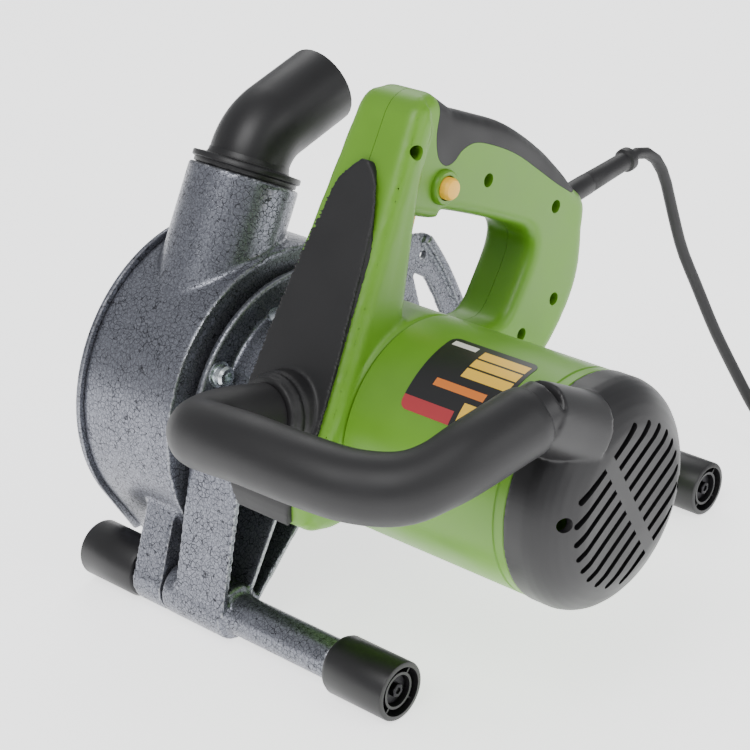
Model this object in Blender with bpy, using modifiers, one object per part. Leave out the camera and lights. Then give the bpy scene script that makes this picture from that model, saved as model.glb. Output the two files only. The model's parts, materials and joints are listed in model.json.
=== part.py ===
"""Hand-held wall chaser: a stack of cutting discs in a wheeled guard, on a plunging motor unit.

The machine stands on its four rollers.  +X points along the motor towards its vented end cap,
+Y points to the back of the machine, +Z points up.  The plunging unit turns about the front axle.
All sizes are in metres.
"""
import math

import bpy
import bmesh
from mathutils import Matrix, Vector

# ---------------------------------------------------------------- driving dimensions
TRACK = 0.252                 # outer end of a left roller to outer end of a right roller
WHEELBASE = 0.305             # front axle to rear axle
ROLLER_RADIUS = 0.018
ROLLER_LENGTH = 0.046
AXLE_RADIUS = 0.006
DISC_RADIUS = 0.090
DISC_THICKNESS = 0.0026
DISC_COUNT = 5
SPACER_LENGTH = 0.0075
DISC_TIP_GAP = 0.0065         # disc rim to the inside of the guard
GUARD_WALL = 0.0035
GUARD_WIDTH = 0.075
COVER_THICKNESS = 0.0035
COVER_SCREW_HEAD = 0.0018
PLUNGE_DEG = 27.0
MOTOR_RADIUS = 0.0656
MOTOR_WALL = 0.003
MOTOR_LENGTH = 0.1147         # green motor barrel, from the handle shells to the end cap
CAP_LENGTH = 0.034
NOZZLE_RADIUS = 0.0345
NOZZLE_WALL = 0.003
NOZZLE_LENGTH = 0.0907
ELBOW_RADIUS = 0.0250
ELBOW_WALL = 0.0025
BAR_RADIUS = 0.019
HANDLE_HALF = 0.0205          # half thickness of the D handle
CAN_HALF = 0.036              # half width of the round part of the handle shells
SHELL_WALL = 0.0028
SPINDLE_RADIUS = 0.008
SHAFT_RADIUS = 0.005
GEAR_RADIUS = 0.0228
PINION_RADIUS = 0.0056
STATOR_RADIUS = 0.048
CORD_RADIUS = 0.004

GAP = 0.0003                  # between neighbouring solids
RUN = 0.0004                  # running clearance round a shaft or an axle
SIDE_PLAY = 0.0015            # beside a turning roller or the plunging arm

# ---------------------------------------------------------------- derived places
GUARD_INSIDE = DISC_RADIUS + DISC_TIP_GAP
GUARD_RADIUS = GUARD_INSIDE + GUARD_WALL
PIVOT = (0.0, ROLLER_RADIUS)                                  # front axle, as (y, z)
REAR = (WHEELBASE, ROLLER_RADIUS)
SPINDLE = (GUARD_RADIUS - 0.008, GUARD_RADIUS + 0.0104)
MOTOR = (SPINDLE[0] - 0.012, SPINDLE[1] + 0.0262)
LEFT = -TRACK
GUARD_LEFT = LEFT + COVER_THICKNESS + GAP
GUARD_RIGHT = GUARD_LEFT + GUARD_WIDTH
GUARD_BOTTOM = ROLLER_RADIUS + 0.002
FRAME_X0 = GUARD_RIGHT + GAP                                  # rear frame plate
FRAME_X1 = FRAME_X0 + 0.0042
ARM_X0 = FRAME_X1 + GAP                                       # plate of the plunging arm
ARM_X1 = ARM_X0 + 0.005
STRIP_X1 = ARM_X0 + 0.042                                     # right edge of the arm's leg
HANDLE_X = STRIP_X1 + GAP + CAN_HALF                          # middle plane of the D handle
CAN_LEFT = HANDLE_X - CAN_HALF
CAN_RIGHT = HANDLE_X + CAN_HALF
BARREL_X0 = CAN_RIGHT + GAP
BARREL_X1 = BARREL_X0 + MOTOR_LENGTH
CAP_X0 = BARREL_X1 + GAP
CAP_X1 = CAP_X0 + CAP_LENGTH
BAR_FRONT = MOTOR[0] - 0.148                                  # bar handle's run, in front of the motor
X_MID = (LEFT - COVER_SCREW_HEAD + CAP_X1) / 2
Y_MID = (BAR_FRONT - BAR_RADIUS + REAR[0] + ROLLER_RADIUS) / 2

STEEL = ("steel_bright", "#B9BCC0", 0.32, 1.0)
ZINC = ("zinc_plate", "#C9CDD0", 0.30, 1.0)
CAST = ("crackle_paint", "#5A5A60", 0.45, 0.4)
GREEN = ("green_shell", "#6E9A2E", 0.45, 0.0)
BLACK = ("black_plastic", "#3A383D", 0.50, 0.0)
GRIP = ("black_soft_grip", "#2E2C30", 0.62, 0.0)
YELLOW = ("yellow_plastic", "#F6C24F", 0.40, 0.0)
RUBBER = ("black_rubber", "#232225", 0.70, 0.0)
COPPER = ("copper_winding", "#A4602E", 0.40, 0.8)
IRON = ("lamination_iron", "#6C6E72", 0.50, 0.9)
CARBON = ("carbon", "#2A2A2C", 0.70, 0.1)
BRASS = ("brass", "#B08D4C", 0.35, 1.0)
DIAMOND = ("diamond_segment", "#8D8F86", 0.75, 0.6)

PARTS = None
CUTTERS = None


# ---------------------------------------------------------------- scene and materials
def clear_scene():
    for old in list(bpy.data.objects):
        bpy.data.objects.remove(old, do_unlink=True)


def make_collection(name):
    made = bpy.data.collections.new(name)
    bpy.context.scene.collection.children.link(made)
    return made


def hex_to_linear(code):
    values = [int(code[i:i + 2], 16) / 255 for i in (1, 3, 5)]
    return [v / 12.92 if v <= 0.04045 else ((v + 0.055) / 1.055) ** 2.4 for v in values] + [1.0]


def material(spec):
    name, colour, rough, metal = spec
    if name in bpy.data.materials:
        return bpy.data.materials[name]
    made = bpy.data.materials.new(name)
    made.use_nodes = True
    shader = made.node_tree.nodes["Principled BSDF"]
    shader.inputs["Base Color"].default_value = hex_to_linear(colour)
    shader.inputs["Roughness"].default_value = rough
    shader.inputs["Metallic"].default_value = metal
    return made


def add_pivot(name, x, place, parent=None):
    """An empty on a joint's axis, at (x, y, z)."""
    pivot = bpy.data.objects.new(name, None)
    pivot["at"] = (x, place[0], place[1])
    PARTS.objects.link(pivot)
    base = Vector(parent["at"]) if parent else Vector((X_MID, Y_MID, 0.0))
    pivot.location = Vector(pivot["at"]) - base
    pivot.parent = parent
    return pivot


def keep(shape, name, spec, pivot):
    """Name a finished solid, give it its material and hang it on its pivot."""
    shape.name = name
    shape.data.name = name
    shape.hide_render = False
    shape.display_type = "TEXTURED"
    shape.data.materials.clear()
    shape.data.materials.append(material(spec))
    shape.data.transform(Matrix.Translation(-Vector(pivot["at"])))
    shape.data.shade_smooth()
    shape.data.set_sharp_from_angle(angle=math.radians(32))
    shape.parent = pivot
    for holder in list(shape.users_collection):
        holder.objects.unlink(shape)
    PARTS.objects.link(shape)
    return shape


# ---------------------------------------------------------------- shapes
def new_object(mesh):
    made = bpy.data.objects.new("shape", mesh)
    CUTTERS.objects.link(made)
    made.hide_render = True
    made.display_type = "WIRE"
    return made


def bake(source):
    """Replace an object or curve by the plain mesh that its modifiers give."""
    bpy.context.view_layer.update()
    graph = bpy.context.evaluated_depsgraph_get()
    mesh = bpy.data.meshes.new_from_object(source.evaluated_get(graph))
    mesh.transform(source.matrix_world)
    work = bmesh.new()
    work.from_mesh(mesh)
    bmesh.ops.remove_doubles(work, verts=work.verts, dist=0.00004)
    work.to_mesh(mesh)
    work.free()
    bpy.data.objects.remove(source, do_unlink=True)
    made = new_object(mesh)
    made.display_type = "TEXTURED"
    made.hide_render = False
    return made


def arc(centre, radius, start, end, steps):
    """Points (y, z) on an arc seen from +X; angles in degrees from +Y towards +Z."""
    angles = [math.radians(start + (end - start) * i / steps) for i in range(steps + 1)]
    return [(centre[0] + radius * math.cos(a), centre[1] + radius * math.sin(a)) for a in angles]


def plate(loops, x0, x1):
    """A flat outline in the side plane, filled and given its thickness from x0 to x1."""
    curve = bpy.data.curves.new("outline", "CURVE")
    curve.dimensions = "2D"
    curve.fill_mode = "BOTH"
    curve.extrude = (x1 - x0) / 2
    for loop in loops:
        spline = curve.splines.new("POLY")
        spline.points.add(len(loop) - 1)
        for point, (y, z) in zip(spline.points, loop):
            point.co = (y, z, 0.0, 1.0)
        spline.use_cyclic_u = True
    shape = bpy.data.objects.new("outline", curve)
    CUTTERS.objects.link(shape)
    # local x, y, z of the flat curve become world Y, Z, X
    shape.matrix_world = Matrix(((0, 0, 1, (x0 + x1) / 2), (1, 0, 0, 0), (0, 1, 0, 0), (0, 0, 0, 1)))
    return bake(shape)


def cylinder(x0, x1, place, radius, sides=40, far_radius=None):
    """A round bar or cone along X between x0 and x1."""
    work = bmesh.new()
    end = radius if far_radius is None else far_radius
    bmesh.ops.create_cone(work, cap_ends=True, segments=sides, radius1=radius, radius2=end, depth=x1 - x0)
    turn = Matrix.Rotation(math.pi / 2, 4, "Y")
    bmesh.ops.transform(work, matrix=Matrix.Translation(((x0 + x1) / 2, *place)) @ turn, verts=work.verts)
    mesh = bpy.data.meshes.new("cylinder")
    work.to_mesh(mesh)
    work.free()
    return new_object(mesh)


def rod(start, end, radius, sides=32, far_radius=None):
    """A round bar or cone between two points."""
    start, end = Vector(start), Vector(end)
    work = bmesh.new()
    last = radius if far_radius is None else far_radius
    bmesh.ops.create_cone(work, cap_ends=True, segments=sides, radius1=radius, radius2=last,
                          depth=(end - start).length)
    turn = (end - start).to_track_quat("Z", "X").to_matrix().to_4x4()
    bmesh.ops.transform(work, matrix=Matrix.Translation((start + end) / 2) @ turn, verts=work.verts)
    mesh = bpy.data.meshes.new("rod")
    work.to_mesh(mesh)
    work.free()
    return new_object(mesh)


def box(low, high):
    work = bmesh.new()
    bmesh.ops.create_cube(work, size=1.0)
    low, high = Vector(low), Vector(high)
    bmesh.ops.scale(work, vec=high - low, verts=work.verts)
    bmesh.ops.translate(work, vec=(low + high) / 2, verts=work.verts)
    mesh = bpy.data.meshes.new("box")
    work.to_mesh(mesh)
    work.free()
    return new_object(mesh)


def turned(profile, place, sides=32):
    """A turned piece about an X axis at place: profile is (x, radius), outer side by falling x."""
    mesh = bpy.data.meshes.new("profile")
    closed = all(radius > 0 for _, radius in profile)
    edges = [(i, i + 1) for i in range(len(profile) - 1)]
    if closed:
        edges.append((len(profile) - 1, 0))
    mesh.from_pydata([(radius, 0.0, x) for x, radius in profile], edges, [])
    shape = bpy.data.objects.new("profile", mesh)
    CUTTERS.objects.link(shape)
    screw = shape.modifiers.new("turn", "SCREW")
    screw.steps = sides
    screw.render_steps = sides
    screw.use_merge_vertices = True
    screw.merge_threshold = 0.00002
    shape.matrix_world = Matrix(((0, 0, 1, 0), (1, 0, 0, place[0]), (0, 1, 0, place[1]), (0, 0, 0, 1)))
    return bake(shape)


def turned_upright(profile, centre, sides):
    """A ring turned about a vertical axis; profile is (radius, z), closed, outer side by falling z."""
    mesh = bpy.data.meshes.new("profile")
    count = len(profile)
    mesh.from_pydata([(radius, 0.0, z) for radius, z in profile], [(i, (i + 1) % count) for i in range(count)], [])
    shape = bpy.data.objects.new("profile", mesh)
    CUTTERS.objects.link(shape)
    screw = shape.modifiers.new("turn", "SCREW")
    screw.steps = sides
    screw.render_steps = sides
    screw.use_merge_vertices = True
    screw.merge_threshold = 0.00002
    shape.location = centre
    return bake(shape)


def ring(x0, x1, place, inner, outer, sides=32):
    return turned([(x1, outer), (x0, outer), (x0, inner), (x1, inner)], place, sides)


def pipe(points, radius, resolution=2):
    """A round bar that follows a list of points, with closed ends."""
    curve = bpy.data.curves.new("path", "CURVE")
    curve.dimensions = "3D"
    curve.bevel_depth = radius
    curve.bevel_resolution = resolution
    curve.use_fill_caps = True
    spline = curve.splines.new("POLY")
    spline.points.add(len(points) - 1)
    for point, place in zip(spline.points, points):
        point.co = (*place, 1.0)
    shape = bpy.data.objects.new("path", curve)
    CUTTERS.objects.link(shape)
    return bake(shape)


def smooth_route(points, step):
    """Points about one step apart on a smooth curve through the given points."""
    points = [Vector(p) for p in points]
    padded = [2 * points[0] - points[1]] + points + [2 * points[-1] - points[-2]]
    fine = []
    for a, b, c, d in zip(padded, padded[1:], padded[2:], padded[3:]):
        for i in range(24):
            t = i / 24
            fine.append(0.5 * (2 * b + (c - a) * t + (2 * a - 5 * b + 4 * c - d) * t * t
                               + (3 * b - a - 3 * c + d) * t ** 3))
    fine.append(points[-1])
    length = sum((q - p).length for p, q in zip(fine, fine[1:]))
    count = max(2, round(length / step))
    route, travelled, wanted = [fine[0]], 0.0, length / count
    for p, q in zip(fine, fine[1:]):
        span = (q - p).length
        while travelled + span >= wanted - 1e-9 and len(route) < count:
            route.append(p.lerp(q, (wanted - travelled) / span))
            wanted += length / count
        travelled += span
    route.append(fine[-1])
    return route


def combine(shape, others, operation):
    for other in others:
        step = shape.modifiers.new("cut", "BOOLEAN")
        step.operation = operation
        step.solver = "EXACT"
        step.object = other
        shape = bake_and_drop(shape, other)
    return shape


def bake_and_drop(shape, other):
    made = bake(shape)
    bpy.data.objects.remove(other, do_unlink=True)
    return made


def cut(shape, *cutters):
    return combine(shape, cutters, "DIFFERENCE")


def join(shape, *others):
    return combine(shape, others, "UNION")


def common(shape, other):
    return combine(shape, [other], "INTERSECT")


def inset(loop, distance):
    """The outline moved inwards (or outwards, if negative) by a distance, corner by corner."""
    area = sum(a[0] * b[1] - b[0] * a[1] for a, b in zip(loop, loop[1:] + loop[:1]))
    side = distance if area > 0 else -distance
    moved = []
    for before, here, after in zip(loop[-1:] + loop[:-1], loop, loop[1:] + loop[:1]):
        first = (Vector(here) - Vector(before)).normalized()
        second = (Vector(after) - Vector(here)).normalized()
        normal = Vector((-first.y, first.x)) + Vector((-second.y, second.x))
        normal = normal.normalized()
        reach = side / max(0.5, normal.dot(Vector((-first.y, first.x))))
        moved.append((here[0] + normal.x * reach, here[1] + normal.y * reach))
    return moved


def spread(shape, middle, half_at):
    """Set each side of an extruded outline to the half width wanted at its height."""
    for vertex in shape.data.vertices:
        side = 1 if vertex.co.x > middle else -1
        vertex.co.x = middle + side * half_at(vertex.co.z)
    return shape


def along(table, value):
    """Straight-line lookup in a short table of (key, value) pairs with rising keys."""
    if value <= table[0][0]:
        return table[0][1]
    for (a, fa), (b, fb) in zip(table, table[1:]):
        if value <= b:
            return fa + (fb - fa) * (value - a) / (b - a)
    return table[-1][1]


def swing(place, degrees):
    """A point (y, z) turned about the front axle."""
    a = math.radians(degrees)
    y, z = place[0] - PIVOT[0], place[1] - PIVOT[1]
    return (PIVOT[0] + y * math.cos(a) - z * math.sin(a), PIVOT[1] + y * math.sin(a) + z * math.cos(a))


# ---------------------------------------------------------------- guard and rolling frame
def guard_outline(radius, bottom):
    """The guard's side outline: it holds the discs raised and plunged, and is open below."""
    low = swing(SPINDLE, -PLUNGE_DEG)
    lean = math.degrees(math.atan2(low[1] - SPINDLE[1], low[0] - SPINDLE[0]))
    drop = math.degrees(math.asin((bottom - low[1]) / radius))
    front = arc(SPINDLE, radius, lean + 270, lean + 90, 26)
    tangent, over = front[0], (low[1] - SPINDLE[1])
    share = (bottom - tangent[1]) / over
    foot = (tangent[0] + share * (low[0] - SPINDLE[0]), bottom)
    return [foot] + front + arc(low, radius, lean + 90, drop, 7)


def nozzle_axis():
    """Mouth centre and direction of the dust nozzle, as (y, z) pairs."""
    lean = math.radians(62)
    direction = (math.cos(lean), math.sin(lean))
    offset = 0.055
    reach = 0.1252
    foot = (SPINDLE[0] - offset * direction[1], SPINDLE[1] + offset * direction[0])
    return (foot[0] + reach * direction[0], foot[1] + reach * direction[1]), direction


def nozzle_point(distance, x=None):
    """A point on the nozzle's axis, a distance beyond its mouth."""
    mouth, direction = nozzle_axis()
    middle = (GUARD_LEFT + GUARD_RIGHT) / 2 if x is None else x
    return Vector((middle, mouth[0] + distance * direction[0], mouth[1] + distance * direction[1]))


def build_guard(root):
    outer = guard_outline(GUARD_RADIUS, GUARD_BOTTOM)
    below = guard_outline(GUARD_INSIDE, GUARD_BOTTOM - 0.004)
    opening = guard_outline(GUARD_INSIDE - 0.017, GUARD_BOTTOM - 0.004)
    shape = plate([outer], GUARD_LEFT, GUARD_RIGHT)
    knuckle_x0 = LEFT + ROLLER_LENGTH + SIDE_PLAY
    knuckle_x1 = knuckle_x0 + 0.0245
    wall = SPINDLE[0] - GUARD_RADIUS
    lug = arc(PIVOT, ROLLER_RADIUS - 0.001, 150, 285, 10) + [
        (wall + 0.048, GUARD_BOTTOM + 0.003), (wall + 0.05, SPINDLE[1] - 0.035), (wall + 0.010, SPINDLE[1] - 0.035)]
    shape = join(shape, plate([lug], knuckle_x0, knuckle_x1))
    shape = join(shape, rod(nozzle_point(-NOZZLE_LENGTH), nozzle_point(0), NOZZLE_RADIUS, 32))
    shape = cut(shape, plate([below], GUARD_LEFT - 0.01, GUARD_RIGHT - GUARD_WALL))
    shape = cut(shape, plate([opening], GUARD_LEFT, GUARD_RIGHT + 0.01))
    bore = rod(nozzle_point(-NOZZLE_LENGTH - 0.012), nozzle_point(0.01), NOZZLE_RADIUS - NOZZLE_WALL, 32)
    shape = cut(shape, bore)
    shape = cut(shape, cylinder(LEFT, GUARD_RIGHT, PIVOT, AXLE_RADIUS + GAP, 16))
    keep(shape, "guard_drum", CAST, root)

    cover = plate([guard_outline(GUARD_RADIUS + 0.003, GUARD_BOTTOM)], LEFT, LEFT + COVER_THICKNESS)
    lip = plate([guard_outline(GUARD_RADIUS - 0.010, GUARD_BOTTOM + 0.010)], LEFT - 0.001, LEFT + 0.0012)
    keep(cut(cover, lip), "guard_cover", CAST, root)
    low = swing(SPINDLE, -PLUNGE_DEG)
    seats = [(SPINDLE, 200), (SPINDLE, 100), (low, 10)]
    for number, (centre, angle) in enumerate(seats, 1):
        place = arc(centre, GUARD_RADIUS - 0.018, angle, angle, 1)[0]
        head = turned([(LEFT + 0.0009, 0.0), (LEFT + 0.0009, 0.0045), (LEFT - 0.0012, 0.0040),
                       (LEFT - COVER_SCREW_HEAD, 0.0)], place, 12)
        keep(head, "cover_screw_%d" % number, ZINC, root)


def build_rear_frame(root):
    """Plate with the depth quadrant, which follows an arc about the front axle, and the rear axle tube."""
    radius = WHEELBASE - 0.029
    rim = arc(PIVOT, radius, 36.5, 3.0, 14)
    boss = arc(REAR, ROLLER_RADIUS - 0.003, 60, -120, 10)
    low = swing(SPINDLE, -PLUNGE_DEG)
    inner = GUARD_RADIUS - 0.012
    lean = math.degrees(math.atan2(low[1] - SPINDLE[1], low[0] - SPINDLE[0]))
    foot = arc(low, inner, lean + 90, -12, 6)
    shoulder = arc(SPINDLE, inner, 68, lean + 90, 5)
    outline = rim[:12] + boss + foot[::-1] + shoulder[::-1] + [(SPINDLE[0] + 0.046, SPINDLE[1] + 0.092)]
    rear_edge = arc(PIVOT, radius - 0.018, 31, 11, 6)
    guard_side = arc(low, GUARD_RADIUS + 0.008, -4, 22, 4)
    top = arc(PIVOT, radius - 0.0245, 34.2, 34.2, 1)[0]
    window = [top] + rear_edge + guard_side
    shape = plate([outline, window], FRAME_X0, FRAME_X1)
    raised = arc(PIVOT, radius + 0.0007, 36.2, 6.3, 14) + arc(PIVOT, radius - 0.0055, 6.3, 36.2, 14)
    shape = join(shape, plate([raised], FRAME_X0 + 0.001, FRAME_X1 + 0.004))
    tube = ROLLER_RADIUS - 0.0055
    shape = join(shape, cylinder(LEFT + ROLLER_LENGTH + SIDE_PLAY, -ROLLER_LENGTH - SIDE_PLAY, REAR, tube, 20))
    hole = arc(PIVOT, radius - 0.0115, 34.6, 34.6, 1)[0]
    shape = cut(shape, cylinder(FRAME_X0 - 0.01, FRAME_X1 + 0.02, hole, 0.0032, 12))
    shape = cut(shape, cylinder(LEFT, 0, REAR, AXLE_RADIUS + GAP, 16))
    keep(shape, "rear_frame", CAST, root)


def roller_profile(outer_end, inward):
    """Turned profile of a roller from its outer end face; inward is -1 or +1 along X."""
    bore = AXLE_RADIUS + RUN
    wall = ROLLER_RADIUS - 0.0032
    steps = [(0.0, wall), (0.0, ROLLER_RADIUS - 0.0008), (0.0008, ROLLER_RADIUS),
             (ROLLER_LENGTH - 0.003, ROLLER_RADIUS), (ROLLER_LENGTH, ROLLER_RADIUS - 0.003),
             (ROLLER_LENGTH, wall), (0.016, wall), (0.016, bore + 0.0035), (ROLLER_LENGTH - 0.004, bore + 0.0035),
             (ROLLER_LENGTH - 0.004, bore), (0.0075, bore), (0.0075, wall)]
    points = [(outer_end + inward * s, r) for s, r in steps]
    return points if inward < 0 else points[::-1]


def build_rollers(root):
    for name, place in (("front", PIVOT), ("rear", REAR)):
        axle = cylinder(LEFT + 0.0065, -0.0065, place, AXLE_RADIUS, 16)
        keep(axle, name + "_axle", STEEL, root)
        for side, end, inward in (("right", 0.0, -1), ("left", LEFT, 1)):
            pivot = add_pivot("%s_%s_roller_axis" % (name, side), end, place, root)
            roller = turned(roller_profile(end, inward), place, 20)
            keep(roller, "roller_%s_%s" % (name, side), BLACK, pivot)
            head = [(0.0062, 0.0), (0.0062, 0.0085), (0.0050, 0.0085), (0.0050, 0.0042), (0.0020, 0.0040),
                    (0.0020, 0.0)]
            points = [(end + inward * s, r) for s, r in head]
            screw = turned(points if inward > 0 else points[::-1], place, 8)
            keep(screw, "roller_screw_%s_%s" % (name, side), ZINC, root)


def build_elbow(root):
    """Black dust elbow that turns in the nozzle's mouth."""
    pivot = add_pivot("elbow_axis", nozzle_point(0).x, (nozzle_point(0).y, nozzle_point(0).z), root)
    mouth, direction = nozzle_axis()
    out = math.radians(15.5)
    bend, tangent = 0.035, 0.0152
    corner = nozzle_point(0.0265)
    end = corner + 0.0595 * Vector((0, math.cos(out), math.sin(out)))
    first = corner - tangent * Vector((0, *direction))
    turn_start, turn_end = math.radians(62 + 90), out + math.radians(90)
    centre = first - bend * Vector((0, math.cos(turn_start), math.sin(turn_start)))
    steps = 4
    route = [nozzle_point(-0.012)]
    for i in range(steps + 1):
        a = turn_start + (turn_end - turn_start) * i / steps
        route.append(centre + bend * Vector((0, math.cos(a), math.sin(a))))
    route.append(end)
    shape = pipe(route, ELBOW_RADIUS, 4)
    shape = join(shape, rod(nozzle_point(-0.012), nozzle_point(GAP + 0.001), NOZZLE_RADIUS - NOZZLE_WALL - RUN, 24))
    shape = join(shape, rod(nozzle_point(GAP), nozzle_point(0.004), NOZZLE_RADIUS - 0.0030, 28))
    shape = join(shape, rod(nozzle_point(0.0035), nozzle_point(0.0075), NOZZLE_RADIUS - 0.0005, 28))
    bore = [nozzle_point(-0.02)] + route[1:-1] + [end + 0.01 * (end - route[-2]).normalized()]
    shape = cut(shape, pipe(bore, ELBOW_RADIUS - ELBOW_WALL, 4))
    keep(shape, "dust_elbow", RUBBER, pivot)


# ---------------------------------------------------------------- plunging arm and gears
GEAR_CASE = (MOTOR[0] + 0.006, MOTOR[1] - 0.0146)
GEAR_CASE_RADIUS = 0.058
NOSE_X0 = GUARD_RIGHT - 0.0135
STACK_X1 = NOSE_X0 - 0.0035                                   # right face of the disc stack


def build_arm(arm):
    boss_x0 = LEFT + ROLLER_LENGTH + SIDE_PLAY + 0.0245 + SIDE_PLAY
    tube_x1 = -ROLLER_LENGTH - SIDE_PLAY
    y0, z0 = PIVOT
    lean = math.radians(75)
    up = (math.cos(lean), math.sin(lean))
    top = (y0 - ROLLER_RADIUS + 0.112 * up[0], z0 + 0.112 * up[1])

    def rib(a, b, width, x0, x1):
        along_rib = Vector((b[0] - a[0], b[1] - a[1])).normalized() * width / 2
        side = (-along_rib.y, along_rib.x)
        loop = [(a[0] + side[0], a[1] + side[1]), (a[0] - side[0], a[1] - side[1]),
                (b[0] - side[0], b[1] - side[1]), (b[0] + side[0], b[1] + side[1])]
        return plate([loop], x0, x1)

    chord = 0.048
    half = math.degrees(math.acos(chord / (DISC_RADIUS - 0.002)))
    low_side = math.degrees(math.atan2(-0.87, 0.49))
    shield = arc(SPINDLE, DISC_RADIUS - 0.002, low_side + half, low_side + 360 - half, 24)
    shape = plate([shield], ARM_X0, ARM_X1)
    web = [(y0 - 0.015, z0 + 0.008), (top[0], top[1]), (SPINDLE[0] - 0.02, SPINDLE[1]), (y0 + 0.062, z0 + 0.052),
           (y0 + 0.015, z0 - 0.010)]
    shape = join(shape, plate([web], ARM_X0 + 0.0002, ARM_X1 - 0.0002))
    shape = join(shape, cylinder(ARM_X0 + 0.0016, STRIP_X1, GEAR_CASE, GEAR_CASE_RADIUS, 36))
    left, right = ARM_X0 + 0.0005, STRIP_X1 - 0.0005
    shape = join(shape, rib((y0 - 0.014, z0 + 0.004), top, 0.004, left, right))
    low = (GEAR_CASE[0] - 0.040, GEAR_CASE[1] - 0.036)
    shape = join(shape, rib((y0 + 0.004, z0), low, 0.003, left + 0.0004, right - 0.0007))
    low = (GEAR_CASE[0] - 0.014, GEAR_CASE[1] - 0.050)
    shape = join(shape, rib((y0 + 0.014, z0), low, 0.003, left + 0.0008, right - 0.0012))
    shape = join(shape, cylinder(boss_x0, STRIP_X1 - 0.0025, PIVOT, ROLLER_RADIUS - 0.001, 24))
    shape = join(shape, cylinder(STRIP_X1 - 0.004, tube_x1, PIVOT, ROLLER_RADIUS - 0.0055, 20))
    shape = join(shape, cylinder(NOSE_X0, ARM_X0 + 0.0027, SPINDLE, 0.021, 20))
    # hollows: gear room, bearing seat in the nose, axle bore
    shape = cut(shape, cylinder(ARM_X1 + 0.001, STRIP_X1 + 0.01, GEAR_CASE, GEAR_CASE_RADIUS - 0.005, 36))
    shape = cut(shape, cylinder(NOSE_X0 + 0.004, ARM_X1 + 0.01, SPINDLE, 0.0165, 16))
    shape = cut(shape, cylinder(NOSE_X0 - 0.01, ARM_X0, SPINDLE, SPINDLE_RADIUS + 0.0008, 16))
    shape = cut(shape, cylinder(boss_x0 - 0.01, 0.0, PIVOT, AXLE_RADIUS + RUN, 16))
    button = lock_button_place()
    shape = cut(shape, rod(button(-0.03), button(0.02), 0.0046, 12))
    keep(shape, "arm_casting", CAST, arm)

    bolt = arc(SPINDLE, 0.079, 145, 145, 1)[0]
    x = ARM_X1 + GAP
    head = turned([(x + 0.0085, 0.0), (x + 0.0075, 0.0042), (x + 0.0055, 0.0065), (x + 0.0015, 0.0065),
                   (x + 0.0015, 0.0080), (x, 0.0080), (x, 0.0)], bolt, 12)
    keep(head, "arm_bolt", ZINC, arm)

    plate_x0, plate_x1 = STRIP_X1 - 0.0105, STRIP_X1 - GAP
    shape = cylinder(plate_x0, plate_x1, GEAR_CASE, GEAR_CASE_RADIUS - 0.005 - 2 * GAP, 28)
    shape = cut(shape, cylinder(plate_x0 - 0.01, plate_x0 + 0.0075, SPINDLE, 0.0114, 16))
    shape = cut(shape, cylinder(plate_x0 + 0.0035, plate_x1 + 0.01, MOTOR, 0.0145, 16))
    shape = cut(shape, cylinder(plate_x0 - 0.01, plate_x1 + 0.01, MOTOR, SHAFT_RADIUS + 0.0012, 12))
    keep(shape, "bearing_plate", IRON, arm)
    keep(ring(plate_x0 + 0.0002, plate_x0 + 0.0072, SPINDLE, 0.0054, 0.0109, 16), "spindle_bearing_inner", STEEL, arm)
    keep(ring(plate_x0 + 0.0038, plate_x1 - 0.0004, MOTOR, SHAFT_RADIUS + RUN, 0.0139, 16),
         "motor_bearing_front", STEEL, arm)
    keep(ring(NOSE_X0 + 0.0043, ARM_X0 + 0.003, SPINDLE, SPINDLE_RADIUS + RUN, 0.0160, 16),
         "spindle_bearing_outer", STEEL, arm)


def lock_button_place():
    """Points on the spindle lock button's line, at a distance outside the gear case."""
    angle = math.radians(108)
    x = ARM_X1 + 0.012

    def at(distance):
        reach = GEAR_CASE_RADIUS + distance
        return Vector((x, GEAR_CASE[0] + reach * math.cos(angle), GEAR_CASE[1] + reach * math.sin(angle)))
    return at


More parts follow.
